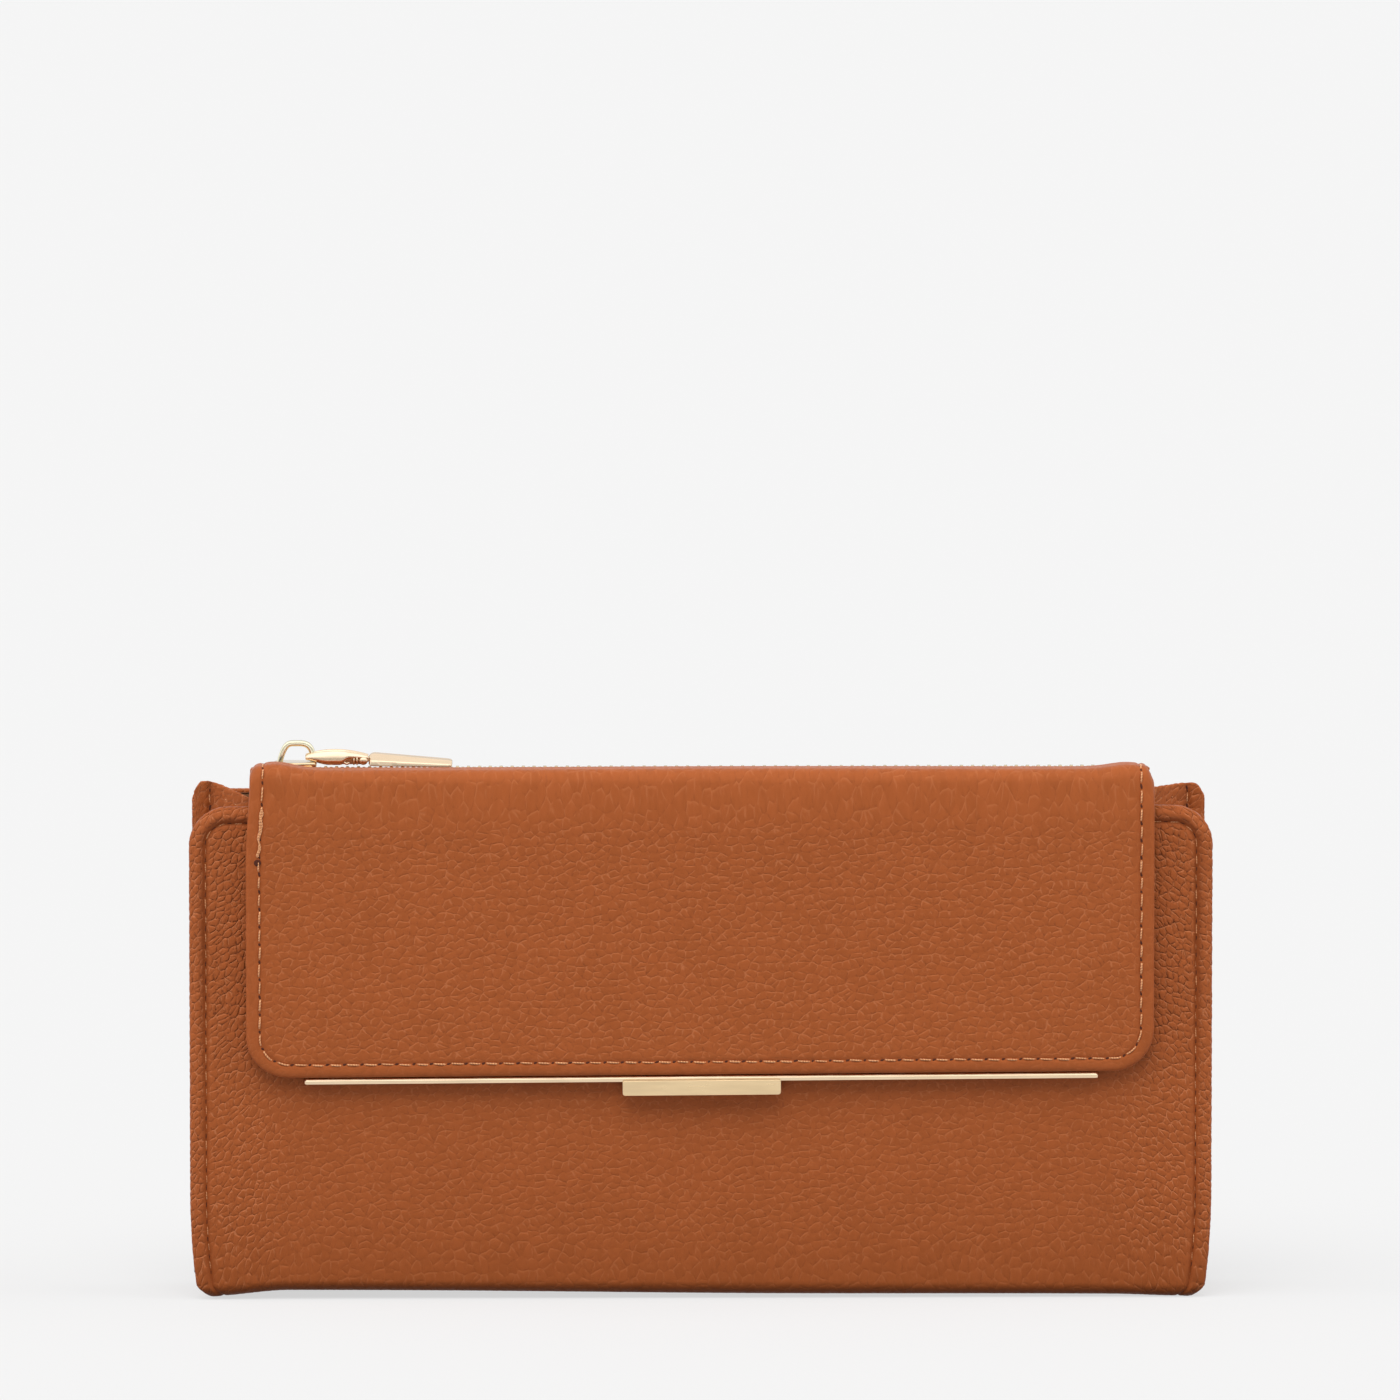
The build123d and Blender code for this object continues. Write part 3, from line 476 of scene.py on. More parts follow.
def only(skin, keep):
    """The part of a skin with the faces to keep."""
    used, faces = np.unique(skin.faces[keep], return_inverse=True)
    return Skin(skin.points[used], faces.reshape(-1, 4), *[values[used] for values in skin[2:]])


def pick(skin, low, high):
    """The part of a skin whose faces lie between two distances along the sheet."""
    middle = skin.along[skin.faces].mean(1)
    return only(skin, (middle >= low) & (middle < high))


def punched(skin, z, radius):
    """A skin with a round hole through its middle at a height."""
    middle = skin.points[skin.faces].mean(1)
    return only(skin, np.hypot(middle[:, 0], middle[:, 2] - z) > radius)


def run_length(path):
    """Distances along a path given as two lists of coordinates."""
    return np.concatenate([[0], np.cumsum(np.hypot(*np.diff(path)))])


def clusters(one, count, size):
    """The faces of a grid, repeated for a count of clusters of points of a size."""
    return (one[None] + (np.arange(count) * size)[:, None, None]).reshape(-1, 4)


def beside(path, a):
    """Places at distances along a path, and the directions across it there, outward."""
    x, s = path
    length = run_length(path)
    tx = np.interp(a + 0.2, length, x) - np.interp(a - 0.2, length, x)
    ts = np.interp(a + 0.2, length, s) - np.interp(a - 0.2, length, s)
    size = np.maximum(np.hypot(tx, ts), 1e-6)
    return np.interp(a, length, x), np.interp(a, length, s), -ts / size, tx / size


def threads(name, sheet, path, starts, height, radius, lean):
    """Short threads that dip into the leather at both ends, each a little askew and of its own weight."""
    gap, loose, steps, around, count = 0.75, 0.12, 9, 8, len(starts)
    u = np.linspace(0, 1, steps)
    begin = starts + gap / 2 + RANDOM.uniform(-loose, loose, count)
    finish = starts + PITCH - gap / 2 + RANDOM.uniform(-loose, loose, count)
    a = begin[:, None] + u[None] * (finish - begin)[:, None]
    px, ps, nx, ns = beside(path, a)
    slant = RANDOM.uniform(-0.1, 0.1, (count, 1)) + 0.16 * (u[None] - 0.5) - lean
    px, ps = px + nx * slant, ps + ns * slant
    rise = height + 0.1 * np.sin(math.pi * u) ** 0.5 - 0.4 * np.abs(2 * u - 1) ** 5
    phi = turns(around)
    thick = radius * (1 - 0.25 * np.abs(2 * u - 1) ** 3)[None] * RANDOM.uniform(0.8, 1.15, (count, 1))
    across = thick[..., None] * np.cos(phi)
    up = rise[None, :, None] + thick[..., None] * np.sin(phi)
    px, ps, nx, ns = (values[..., None] for values in (px, ps, nx, ns))
    points = sheet.place(px + nx * across, ps + ns * across, up)
    faces = clusters(quads(steps, around, wrap=True), count, steps * around)
    return make(name, points, faces, THREAD, stacked(a[..., None], np.arange(around) / around))


def needle_holes(name, sheet, path, starts, height, hole):
    """Slanted oval holes, given by half length and half width, each a shallow funnel up to a height, coloured
    dark as painted shade.
    """
    steps, count = 10, len(starts)
    hx, hs, nx, ns = beside(path, starts)
    rim = turns(steps)
    far = (hole[0] * RANDOM.uniform(0.75, 1.2, count))[:, None] * np.cos(rim)
    wide = (hole[1] * RANDOM.uniform(0.85, 1.15, count))[:, None] * np.sin(rim) + 0.25 * far
    nx, ns, rings = nx[:, None], ns[:, None], []
    for share, rise in ((1.0, -0.16), (0.6, -0.02), (0.05, 0.0)):
        x = hx[:, None] + share * (nx * wide - ns * far)
        s = hs[:, None] + share * (ns * wide + nx * far)
        rings.append(sheet.place(x, s, np.full(x.shape, height + rise)))
    faces = clusters(quads(len(rings), steps, wrap=True, flip=True), count, len(rings) * steps)
    return make(name, np.stack(rings, 1), faces, HOLE_SHADE)


def stitches(name, sheet, path, height=-0.06, radius=THREAD_R, hole=(0.36, 0.26), lean=0.0, proud=0.0):
    """Stitches along a path on a sheet, each a short thread between two needle holes: thread and holes.
    Proud is how far the holes lie above the thread, and lean moves the thread off the path to the inside."""
    ends = 1.0
    starts = ends + PITCH * np.arange(int((run_length(path)[-1] - 2 * ends) / PITCH))
    thread = threads(name, sheet, path, starts, height, radius, lean)
    return thread, needle_holes(name + "_holes", sheet, path, starts, height + proud, hole)


def strand(name, sheet, x, s, h, radius):
    """A loose thread laid along places on a sheet."""
    around = 8
    phi = turns(around)
    tx, ts = np.gradient(x), np.gradient(s)
    size = np.hypot(tx, ts)
    across = radius * np.cos(phi)[None]
    points = sheet.place(x[:, None] - ts[:, None] / size[:, None] * across,
                         s[:, None] + tx[:, None] / size[:, None] * across,
                         h[:, None] + radius * np.sin(phi)[None])
    grain = stacked(run_length((x, s))[:, None], np.arange(around) / around)
    return make(name, points, quads(len(x), around, wrap=True), THREAD, grain)


# ---------------------------------------------------------------- materials

def srgb(red, green, blue):
    """A colour given as screen levels, in linear light."""
    level = [c / 255 for c in (red, green, blue)]
    return tuple(c / 12.92 if c <= 0.04045 else ((c + 0.055) / 1.055) ** 2.4 for c in level) + (1.0,)


def principled(name, on_grain, **uniform):
    """A Principled material, its shader, and the places to lay patterns on: the grain's map or the object."""
    made = bpy.data.materials.new(name)
    made.use_nodes = True
    tree = made.node_tree
    shader = tree.nodes["Principled BSDF"]
    for key, value in uniform.items():
        shader.inputs[key.replace("_", " ")].default_value = value
    if on_grain:
        return made, shader, wire(tree, "ShaderNodeUVMap", uv_map="grain")
    return made, shader, wire(tree, "ShaderNodeTexCoord", output="Object")


def feed(shader, colour, height=None, distance=0.0, roughness=None):
    """Feeds a shader its colour, a bump of a height in millimetres, and its roughness."""
    fed = {"Base Color": colour, "Roughness": roughness}
    if height is not None:
        sockets = {"Height": height, "Distance": distance * MM, "Strength": 1.0}
        fed["Normal"] = wire(colour.tree, "ShaderNodeBump", sockets)
    for key, value in fed.items():
        if value is not None:
            colour.tree.links.new(value.socket, shader.inputs[key])


def leather_material(name, deep, middle, pale, dark):
    """Pebbled full-grain leather: mottled colour, fine pores, a painted highlight on the pebbles' upper rims,
    and painted shade on their lower rims and along the seams.
    """
    made, shader, where = principled(name, True, Roughness=0.55, Specular_IOR_Level=0.2, Sheen_Weight=0.08,
                                     Sheen_Roughness=0.3)
    relief, worn = (wire(where.tree, "ShaderNodeAttribute", output="Fac", attribute_name=label)
                    for label in ("relief", "worn"))
    height, crease, upper, own = pebbles(where)
    mottle = blotches(where, 14.0) * 0.25 + blotches(where, 1.3, 3.0) * 0.5 + own * 0.25
    colour = mix(ramp(mottle, 0.3, 0.7), deep, middle)
    broken = crease * ramp(blotches(where, 1.6), 0.38, 0.56, 0.05, 1.0)
    shown = broken * (relief.maths("MINIMUM", 1.5) * 0.5)
    # Painted highlight: the pebbles' upper rims are coloured pale, as if lit from above.
    colour = mix(shown * ramp(upper, -0.08, 0.24, 0.06, 1.0), colour, pale)
    # Painted shade: the pebbles' lower rims are coloured dark, as if shaded from the light above.
    shade = crease * ramp(blotches(where, 0.7), 0.45, 0.62) * ramp(upper, -0.3, 0.0, 1.0, 0.0)
    colour = mix((shade * (relief * 0.38)).maths("MINIMUM", 0.8), colour, dark)
    # Painted shade along the seams' grooves.
    colour = mix(worn * 0.5, colour, dark)
    level = blotches(where, 0.2, 2.0) * 0.16 - broken * relief + height * relief * 0.4
    feed(shader, colour, level, 0.04, ramp(blotches(where, 0.8, 3.0), 0.3, 0.7, 0.5, 0.62))
    return made


def thread_material():
    """Twisted thread."""
    made, shader, where = principled("thread", True, Roughness=0.5, Sheen_Weight=0.2)
    turned = wire(where.tree, "ShaderNodeMapping", {"Vector": where, "Scale": (2.2, 1.0, 1.0)})
    twist = wire(where.tree, "ShaderNodeTexWave", {"Vector": turned, "Scale": 0.55, "Distortion": 0.3}, "Fac",
                 bands_direction="DIAGONAL")
    feed(shader, mix(twist, srgb(186, 116, 70), srgb(224, 164, 112)), twist, 0.05)
    return made


def hole_shade_material():
    """Painted shade: the dark colour inside a needle hole."""
    made, shader, where = principled("needle_hole_shade", True, Roughness=0.9)
    feed(shader, mix(blotches(where, 0.5), srgb(52, 22, 12), srgb(92, 42, 22)))
    return made


def gold_material(name, colour, roughness, edge=(0.42, 0.32, 0.14)):
    """Gold plate with faint polishing marks. Where it faces away from the view it turns to the edge colour, a
    painted reflection on its rims.
    """
    made, shader, where = principled(name, False, Metallic=1.0, Roughness=roughness)
    scaled = wire(where.tree, "ShaderNodeMapping", {"Vector": where, "Scale": (120.0, 900.0, 900.0)})
    marks = noise(scaled, 1.0, 3.0)
    tone = mix(ramp(marks, 0.35, 0.7), (*colour, 1.0), (*(c * 0.93 for c in colour), 1.0))
    # Painted reflection: facing away, the colour turns to the edge colour, which stands for what the rims
    # mirror.
    turned = wire(where.tree, "ShaderNodeLayerWeight", {"Blend": 0.5}, "Facing")
    feed(shader, mix(ramp(turned, 0.55, 0.85), tone, (*edge, 1.0)), marks, 0.02,
         ramp(marks, 0.3, 0.7, roughness - 0.03, roughness + 0.04))
    return made


def cloth_material(name, dark, light, thread):
    """Woven cloth of a thread width in millimetres."""
    made, shader, where = principled(name, False, Roughness=0.8, Sheen_Weight=0.15)
    rows = [wire(where.tree, "ShaderNodeTexWave", {"Vector": where, "Scale": 1 / (thread * MM) / 20}, "Fac",
                 bands_direction=axis) for axis in ("X", "Z")]
    weave = rows[0] * rows[1]
    feed(shader, mix((weave + noise(where, 120.0, 3.0)) * 0.6, dark, light), weave, 0.08)
    return made


def plain_material(name, dark, light, grain_size):
    """Card, foam and other hidden fillers."""
    made, shader, where = principled(name, False, Roughness=0.75)
    grains = noise(where, 1 / (grain_size * MM), 4.0)
    feed(shader, mix(grains, dark, light), grains, 0.05)
    return made


LEATHER = leather_material("leather", deep=srgb(153, 79, 36), middle=srgb(161, 84, 40),
                           pale=srgb(192, 118, 76), dark=srgb(98, 46, 20))
INNER = leather_material("inner_leather", deep=srgb(126, 64, 34), middle=srgb(142, 76, 42),
                         pale=srgb(160, 94, 58), dark=srgb(86, 42, 20))
THREAD = thread_material()
HOLE_SHADE = hole_shade_material()
# The edge colours are painted reflections on the rims: dark for most golds, light for the satin tab.
GOLD = gold_material("gold", (0.90, 0.68, 0.42), 0.14)
ROSE_GOLD = gold_material("rose_gold", (0.95, 0.74, 0.52), 0.22, edge=(0.62, 0.42, 0.22))
BAR_GOLD = gold_material("bar_gold", (0.88, 0.68, 0.46), 0.16, edge=(0.55, 0.33, 0.17))
# Dark gold for the link's fork plates: painted shade for the gaps between the link's beads.
GOLD_IN_SHADE = gold_material("gold_in_shade", (0.46, 0.20, 0.09), 0.3, edge=(0.20, 0.08, 0.03))
PALE_GOLD = gold_material("pale_gold", (1.0, 0.93, 0.68), 0.2, edge=(0.26, 0.22, 0.08))
SATIN_GOLD = gold_material("satin_gold", (0.94, 0.71, 0.42), 0.3, edge=(1.0, 0.86, 0.64))
CLOTH = cloth_material("lining_cloth", srgb(120, 78, 48), srgb(150, 104, 70), 0.35)
TAPE = cloth_material("zip_tape", srgb(126, 70, 38), srgb(158, 94, 56), 0.5)
BOARD = plain_material("board", srgb(150, 140, 122), srgb(178, 168, 150), 0.8)
FOAM = plain_material("foam", srgb(214, 206, 190), srgb(232, 226, 212), 0.5)


# ---------------------------------------------------------------- outer shell and flap

def panel_half(z_of):
    """Half width of a panel: drawn in a little towards the base, and tucked in round the fold."""
    def half(s):
        z = z_of(s)
        draw = SIDE_DRAW * np.clip(1 - z / SIDE_DRAW_Z, 0, 1) ** 2
        return PANEL_HALF - draw - FOOT_TUCK * np.clip(1 - z / FOLD_R, 0, 1) ** 2
    return half


def base_lift(x):
    """How high the base stands off the floor: least at the right corner, most left of the middle."""
    share = np.clip((x + PANEL_HALF) / (2 * PANEL_HALF), 0, 1)
    inner = smooth(PANEL_HALF - 3 - np.abs(x), 0, 16)
    return BASE_LIFT * (inner * (1.6 - 1.4 * share) + 0.5 * (1 - share))


def shell_settle(side):
    """Lifts the base off the floor between its corners, leans the panel in towards its foot, and turns it to
    its side: -1 is the front and 1 the back."""
    def settle(points):
        foot = np.clip(1 - points[..., 2] / LEAN_IN_Z, 0, 1) ** 2
        points[..., 1] -= LEAN_IN * foot * smooth(points[..., 1], 6, 12)
        points[..., 2] += base_lift(points[..., 0]) * (1 - smooth(points[..., 2], 0, 9))
        points[..., 1] *= -side
        return points
    return settle


def line_length(runs):
    return sum(length for length, _ in runs)


def shell_sheet(top, corner, side):
    """Half of the outer shell: from the middle of the base round the fold and up a panel."""
    depth = -FRONT_Y
    runs = [(depth - FOLD_R, 0), (FOLD_R * math.pi / 2, -FOLD_R), (top - FOLD_R, 0)]
    line = bent_line((0.0, 0.0), 180, runs, 1)

    def rates(s):
        return 1 - 0.5 * np.exp(-((s - (depth - FOLD_R + 6)) / 6.5) ** 2)
    half = panel_half(lambda s: line(s)[0][..., 1])
    return Sheet(line, half, line_length(runs), corner, shell_settle(side), rates, side > 0, fan=0.4)


def flap_settle(points):
    """The flap hangs a touch askew, and its rolled ends stand proud where the turned edges are thick."""
    x = points[..., 0]
    hang = smooth(ROLL_TOP - ROLL_R - points[..., 2], 0, 45)
    points[..., 2] += FLAP_TILT * x * hang
    spread = 0.75 * smooth(ROLL_TOP - points[..., 2], 1, 18) - 0.3
    x -= spread * smooth(-x, FLAP_HALF - 12, FLAP_HALF)
    at_top = smooth(points[..., 2], ROLL_TOP - 5.5, ROLL_TOP - 2)
    from_end = FLAP_HALF - np.abs(x)
    left = x < 0
    swell = np.where(left, 1.1, 0.75) * np.exp(-((from_end - 5) / 4.5) ** 2)
    drop = np.where(left, 1.0, 2.0) * np.exp(-(np.maximum(from_end, 0) / 0.9) ** 2)
    points[..., 2] += at_top * (0.2 + swell - drop)
    return points


def flap_sheet():
    """The flap's leather: from its seam by the zip over the top and down to its lower edge."""
    down = ROLL_TOP - TURN_R * (1 - math.sin(LEAN)) - LEAN_R * math.sin(LEAN) - FLAP_EDGE_Z
    runs = [(FLAP_FLAT, 0), (TURN_R * (math.pi / 2 - LEAN), TURN_R), (LEAN_R * LEAN, LEAN_R), (down, 0)]
    line = bent_line((SEAM_Y, ROLL_TOP), 180, runs, -1)

    def rates(s):
        return 0.38 + 0.62 * smooth(s, LEAN_START + 4, LEAN_END + 1)
    return Sheet(line, lambda s: FLAP_HALF + 0 * s, line_length(runs), FLAP_CORNER, flap_settle, rates, True,
                 fan=0.2, upward=-1)


def bend_panel(piece):
    """Bakes the placement of a piece of the shell into its mesh."""
    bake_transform(piece)


def bend_roll_start(piece):
    """Bakes the placement of a piece of the leather behind the roll into its mesh."""
    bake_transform(piece)


def bend_roll_end(piece):
    """Bakes the placement of a piece of the flap into its mesh."""
    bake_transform(piece)


def shell(side):
    """Half of the outer shell with its stitches; side is -1 for the front and 1 for the back."""
    top, corner = (FRONT_TOP, FRONT_CORNER) if side < 0 else (BACK_TOP, BACK_CORNER)
    name = "shell_front" if side < 0 else "shell_back"
    sheet = shell_sheet(top, corner, side)
    fold_s = -FRONT_Y - FOLD_R
    # dark sets how strong the painted shade along the seam's groove is.
    finish = Finish(PANEL_SEAM, FRONT_BACK - FRONT_Y, 0.036, side_relief=3.6, margin_relief=3.0,
                    quiet=lambda s: 0.5 + 0.32 * smooth(s, fold_s + 5, fold_s + 18), dark=0.7,
                    calm=lambda s: 0.1 + 0.9 * smooth(s, fold_s, fold_s + 8), round_r=0.9,
                    plump=0.36, groove=0.36)
    skin = sheet_mesh(sheet, finish)
    if side < 0:
        piece = skin_piece(name, punched(skin, SNAP_Z, CUP_HOLE), LEATHER)
        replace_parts(piece, "front_panel_leather", "base_leather")
    else:
        piece = skin_piece(name, skin, LEATHER)
        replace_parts(piece, "back_panel_leather")
    bend_panel(piece)
    path = sheet.contour(PANEL_SEAM, 3.0, 0.2)
    for made in stitches(name + "_stitches", sheet, path, height=-0.58, radius=0.11,
                         hole=(0.8, 0.27), lean=0.12, proud=0.16):
        bend_panel(made)


def flap():
    """The flap's leather in two pieces, its stitches, and the back tack at its left end."""
    sheet = flap_sheet()
    finish = Finish(FLAP_SEAM, FLAP_IN - FLAP_Y, 0.022, margin_relief=0.3, round_r=0.85,
                    quiet=lambda s: 0.55 + 0.45 * smooth(s, LEAN_START + 4, LEAN_END + 2))
    mesh = sheet_mesh(sheet, finish)
    bend_roll_start(skin_piece("flap_roll_start", pick(mesh, -1, FLAP_CUT), LEATHER))
    main = skin_piece("flap_outer", pick(mesh, FLAP_CUT, math.inf), LEATHER)
    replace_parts(main, "flap_leather", "roll_leather")
    bend_roll_end(main)
    path = sheet.contour(FLAP_SEAM, FLAP_CUT + 1, 0.2)
    for made in stitches("flap_stitches", sheet, path, hole=(0.46, 0.28)):
        bend_roll_end(made)
    back_tack(sheet)


def back_tack(sheet):
    """At the roll's left end the seam was sewn twice over and tied off: three wandering threads and a needle
    hole."""
    low, seam_x, rim_steps = LEAN_END - 4.2, -FLAP_HALF + FLAP_SEAM, 16
    s = np.linspace(low - 0.6, low + 8.4, 120)
    for n, (sway, phase) in enumerate(((0.3, 0.4), (0.24, 2.6), (0.12, 4.4))):
        x = seam_x + 0.1 + sway * np.sin(s * (1.5 + 0.5 * n) + phase) - 0.03 * (s - low)
        h = 0.04 + 0.06 * np.sin(s * 1.9 + phase)
        bend_roll_end(strand(f"flap_back_tack_{n + 1}", sheet, x, s, h, 0.15))
    turn = turns(rim_steps)
    x, s = seam_x - 0.3, low + 9.5
    rings = [sheet.place(x + r * np.cos(turn), s + r * np.sin(turn), np.full(rim_steps, h))
             for r, h in ((0.68, -0.2), (0.62, 0.1), (0.35, 0.17), (0.02, 0.12))]
    faces = quads(len(rings), rim_steps, wrap=True, flip=True)
    # The hole is coloured dark as painted shade.
    bend_roll_end(make("flap_tie_hole", np.array(rings), faces, HOLE_SHADE))


# ---------------------------------------------------------------- linings, pockets and pouch

class Lined:
    """The inner side of a sheet: the same line, seen from the inside and set back by the layers between."""

    def __init__(self, outer, back, inset):
        self.outer, self.back = outer, back
        self.end, self.corner = outer.end - inset, max(outer.corner - inset, 0.4)
        self.half = lambda s: outer.half(s) - inset
        self.flip = not outer.flip

    def place(self, x, s, h):
        return self.outer.place(x, s, -self.back(s) - h)

    inset, limit, contour = Sheet.inset, Sheet.limit, Sheet.contour

    def grain_at(self, x, s):
        return stacked(x, s)


def flap_lining():
    """The flap's and the roll's lining, in two pieces as the leather is."""
    thick, seam = 0.6, 1.9
    full, rolled = LINING_Y - FLAP_Y, 1.0 + thick
    sheet = Lined(flap_sheet(), lambda s: rolled + (full - rolled) * smooth(s, LEAN_START, LEAN_END), 0.5)
    mesh = sheet_mesh(sheet, Finish(seam, thick, 0.02, cell=0.8, swell=0.0))
    bend_roll_start(skin_piece("roll_lining_start", pick(mesh, -1, FLAP_CUT), INNER))
    main = skin_piece("flap_lining_skin", pick(mesh, FLAP_CUT, math.inf), INNER)
    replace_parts(main, "flap_lining", "roll_lining")
    bend_roll_end(main)
    for made in stitches("flap_lining_stitches", sheet, sheet.contour(seam, FLAP_CUT + 1, 0.2)):
        bend_roll_end(made)


def upright_sheet(name, side, corner=3.0):
    """The face of a flat upright CAD sheet that looks to the middle of the wallet; side is -1 in front."""
    low, high = cad(name)
    tall = high[2] - low[2]
    line = bent_line((high[1] if side < 0 else low[1], low[2]), 90, [(tall, 0)], side)
    return Sheet(line, lambda s: high[0] + 0 * s, tall, corner, lambda points: points, evenly, side < 0)


def panel_insides():
    """Lining and stepped pockets of both panels."""
    pockets = {-1: [f"card_pocket_{n + 1}" for n in range(4)], 1: ["slip_pocket_tall", "slip_pocket_short"]}
    seam = 1.3
    for side, panel in ((-1, "front_panel"), (1, "back_panel")):
        name = panel + "_lining"
        corner = (FRONT_CORNER if side < 0 else BACK_CORNER) - (PANEL_HALF - cad(name)[1][0])
        finish = Finish(1.4, 0.4, 0.0, cell=1.2, swell=0.05)
        skin = sheet_mesh(upright_sheet(name, side, max(corner, 0.5)), finish)
        lining = skin_piece(name + "_cloth", skin, CLOTH)
        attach(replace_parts(lining, name), panel)
        for name in pockets[side]:
            sheet = upright_sheet(name, side)
            skin = sheet_mesh(sheet, Finish(seam, 0.36, 0.02, cell=1.0, swell=0.03, round_r=0.18))
            piece = skin_piece(name + "_leather", skin, INNER)
            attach(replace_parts(piece, name), panel)
            path = sheet.contour(seam, 1.0, 0.3)
            for made in stitches(name + "_seam", sheet, path, height=-0.1, radius=0.13):
                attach(made, panel)


def swept(name, section, x_low, x_high, material, depth=0.03, step=0.6, shape=None):
    """A piece with a closed (y, z) section run along X, with its ends drawn in a little."""
    section = np.array(section, float)
    end, m = 0.5, len(section)
    x = np.concatenate([[x_low, x_low + 0.12 * end, x_low + 0.4 * end],
                        np.linspace(x_low + end, x_high - end, max(int((x_high - x_low) / step), 8)),
                        [x_high - 0.4 * end, x_high - 0.12 * end, x_high]])
    into = np.minimum(x - x_low, x_high - x) / end
    draw = end * 0.5 * (1 - np.sqrt(np.clip(1 - (1 - np.clip(into, 0, 1)) ** 2, 0, 1)))
    middle = section.mean(0)
    away = section - middle
    reach = np.maximum(np.abs(away), 1e-6)
    pulled = np.sign(away)[None] * np.maximum(reach[None] - draw[:, None, None], 0.05) + middle
    points = stacked(x[:, None], pulled[..., 0], pulled[..., 1])
    if shape:
        points = shape(points)
    faces = quads(len(x), m, wrap=True)
    grain = stacked(x[:, None], run_length(section.T)[None])
    relief = np.full((len(x), m), 0.5)
    flat = points.reshape(-1, 3)
    if depth:
        flat = emboss(flat, faces, grain.reshape(-1, 2), relief.ravel(), depth)
    return make(name, flat, faces.tolist() + end_caps(len(x), m), material, grain, relief)


def end_caps(rings, m):
    """Faces that close both ends of a tube of rings of m points."""
    return [tuple(range(m - 1, -1, -1)), tuple(range((rings - 1) * m, rings * m))]


def rounded(points, radius, steps=3):
    """A closed section with its corners rounded."""
    points = [np.array(p, float) for p in points]
    out = []
    for n, p in enumerate(points):
        before, after = points[n - 1] - p, points[(n + 1) % len(points)] - p
        reach = min(radius, 0.45 * np.linalg.norm(before), 0.45 * np.linalg.norm(after))
        a = p + before / np.linalg.norm(before) * reach
        b = p + after / np.linalg.norm(after) * reach
        for t in np.linspace(0, 1, steps + 1):
            out.append((1 - t) ** 2 * a + 2 * t * (1 - t) * p + t * t * b)
    return out


def refined(section, step):
    """A closed section with points no further apart than a step."""
    out = []
    for n, p in enumerate(section):
        q = section[(n + 1) % len(section)]
        count = max(int(np.ceil(np.hypot(*(np.array(q) - p)) / step)), 1)
        out += [np.array(p) + (np.array(q) - p) * k / count for k in range(count)]
    return out


def box_outline(a_low, a_high, b_low, b_high, radius=0.0, steps=4):
    """A rectangle's corners in turn, rounded where a radius is given."""
    corners = [(a_low, b_low), (a_high, b_low), (a_high, b_high), (a_low, b_high)]
    return [tuple(p) for p in rounded(corners, radius, steps)] if radius else corners


def tape_height(y):
    """The zip's tape is level in front and dips towards the rear seam."""
    return TAPE_MIDDLE - REAR_DIP * smooth(y, 1.5, 6.0)


def pouch_wall(side, name, tape_out):
    """A wall of the pouch, which flares at its top to the zip's tape; side is -1 in front."""
    low, high = cad("pouch_front_wall")
    inner, outer = POUCH_IN, POUCH_IN + POUCH_WALL
    top = tape_height(side * (tape_out - 0.5)) - 0.32
    bend = high[2] - 3.4
    section = [(outer, low[2]), (inner, low[2]), (inner, bend), (tape_out - 1.1, top), (tape_out, top),
               (outer, bend)]
    section = [(side * y, z) for y, z in section][::-side]
    piece = swept(name + "_skin", refined(rounded(section, 0.3, 2), 1.6), low[0], high[0], INNER,
                  0.02, 1.6)
    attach(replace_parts(piece, name), "root")


def pouch():
    """Walls, floor and lining of the coin pouch, up to the zip's tapes."""
    tape_out = abs(cad("pouch_front_wall")[0][1])
    pouch_wall(-1, "pouch_front_wall", tape_out)
    pouch_wall(1, "pouch_rear_wall", tape_out)
    low, high = cad("pouch_floor")
    section = refined(rounded(box_outline(low[1], high[1], low[2], high[2]), 0.3), 1.5)
    floor = swept("pouch_floor_cloth", section, low[0], high[0], CLOTH, 0, 2.0)
    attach(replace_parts(floor, "pouch_floor"), "root")
    low, high = cad("coin_lining")
    half = 0.15
    for side in (-1, 1):
        y = side * (high[1] - 0.18)
        section = refined(rounded(box_outline(y - half, y + half, low[2], high[2]), 0.1, 2), 1.6)
        name = "coin_lining_front" if side < 0 else "coin_lining_rear"
        cloth = swept(name, section, low[0], high[0], CLOTH, 0, 2.0, ripple)
        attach(cloth, "root")
        if side < 0:
            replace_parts(cloth, "coin_lining")


def ripple(points):
    """Soft waves across Y, as loose cloth has."""
    x, z = points[..., 0], points[..., 2]
    points[..., 1] += 0.12 * np.sin(x / 7.3 + 0.8) * np.sin(z / 19 + 0.3)
    return points


def base_inside():
    """The lining over the base's board, which follows the lift of the base."""
    low, high = cad("base_lining")
    board_low = cad("base_board")[0]
    section = refined(rounded(box_outline(low[1], high[1], board_low[2] + 0.1, high[2]), 0.4), 1.2)
    piece = swept("base_lining_cloth", section, low[0], high[0], CLOTH, 0, 2.0, settle_base)
    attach(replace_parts(piece, "base_lining", "base_board"), "root")


def settle_base(points):
    """The base's inside follows a share of its lift."""
    points[..., 2] += base_lift(points[..., 0]) * 0.35
    return points


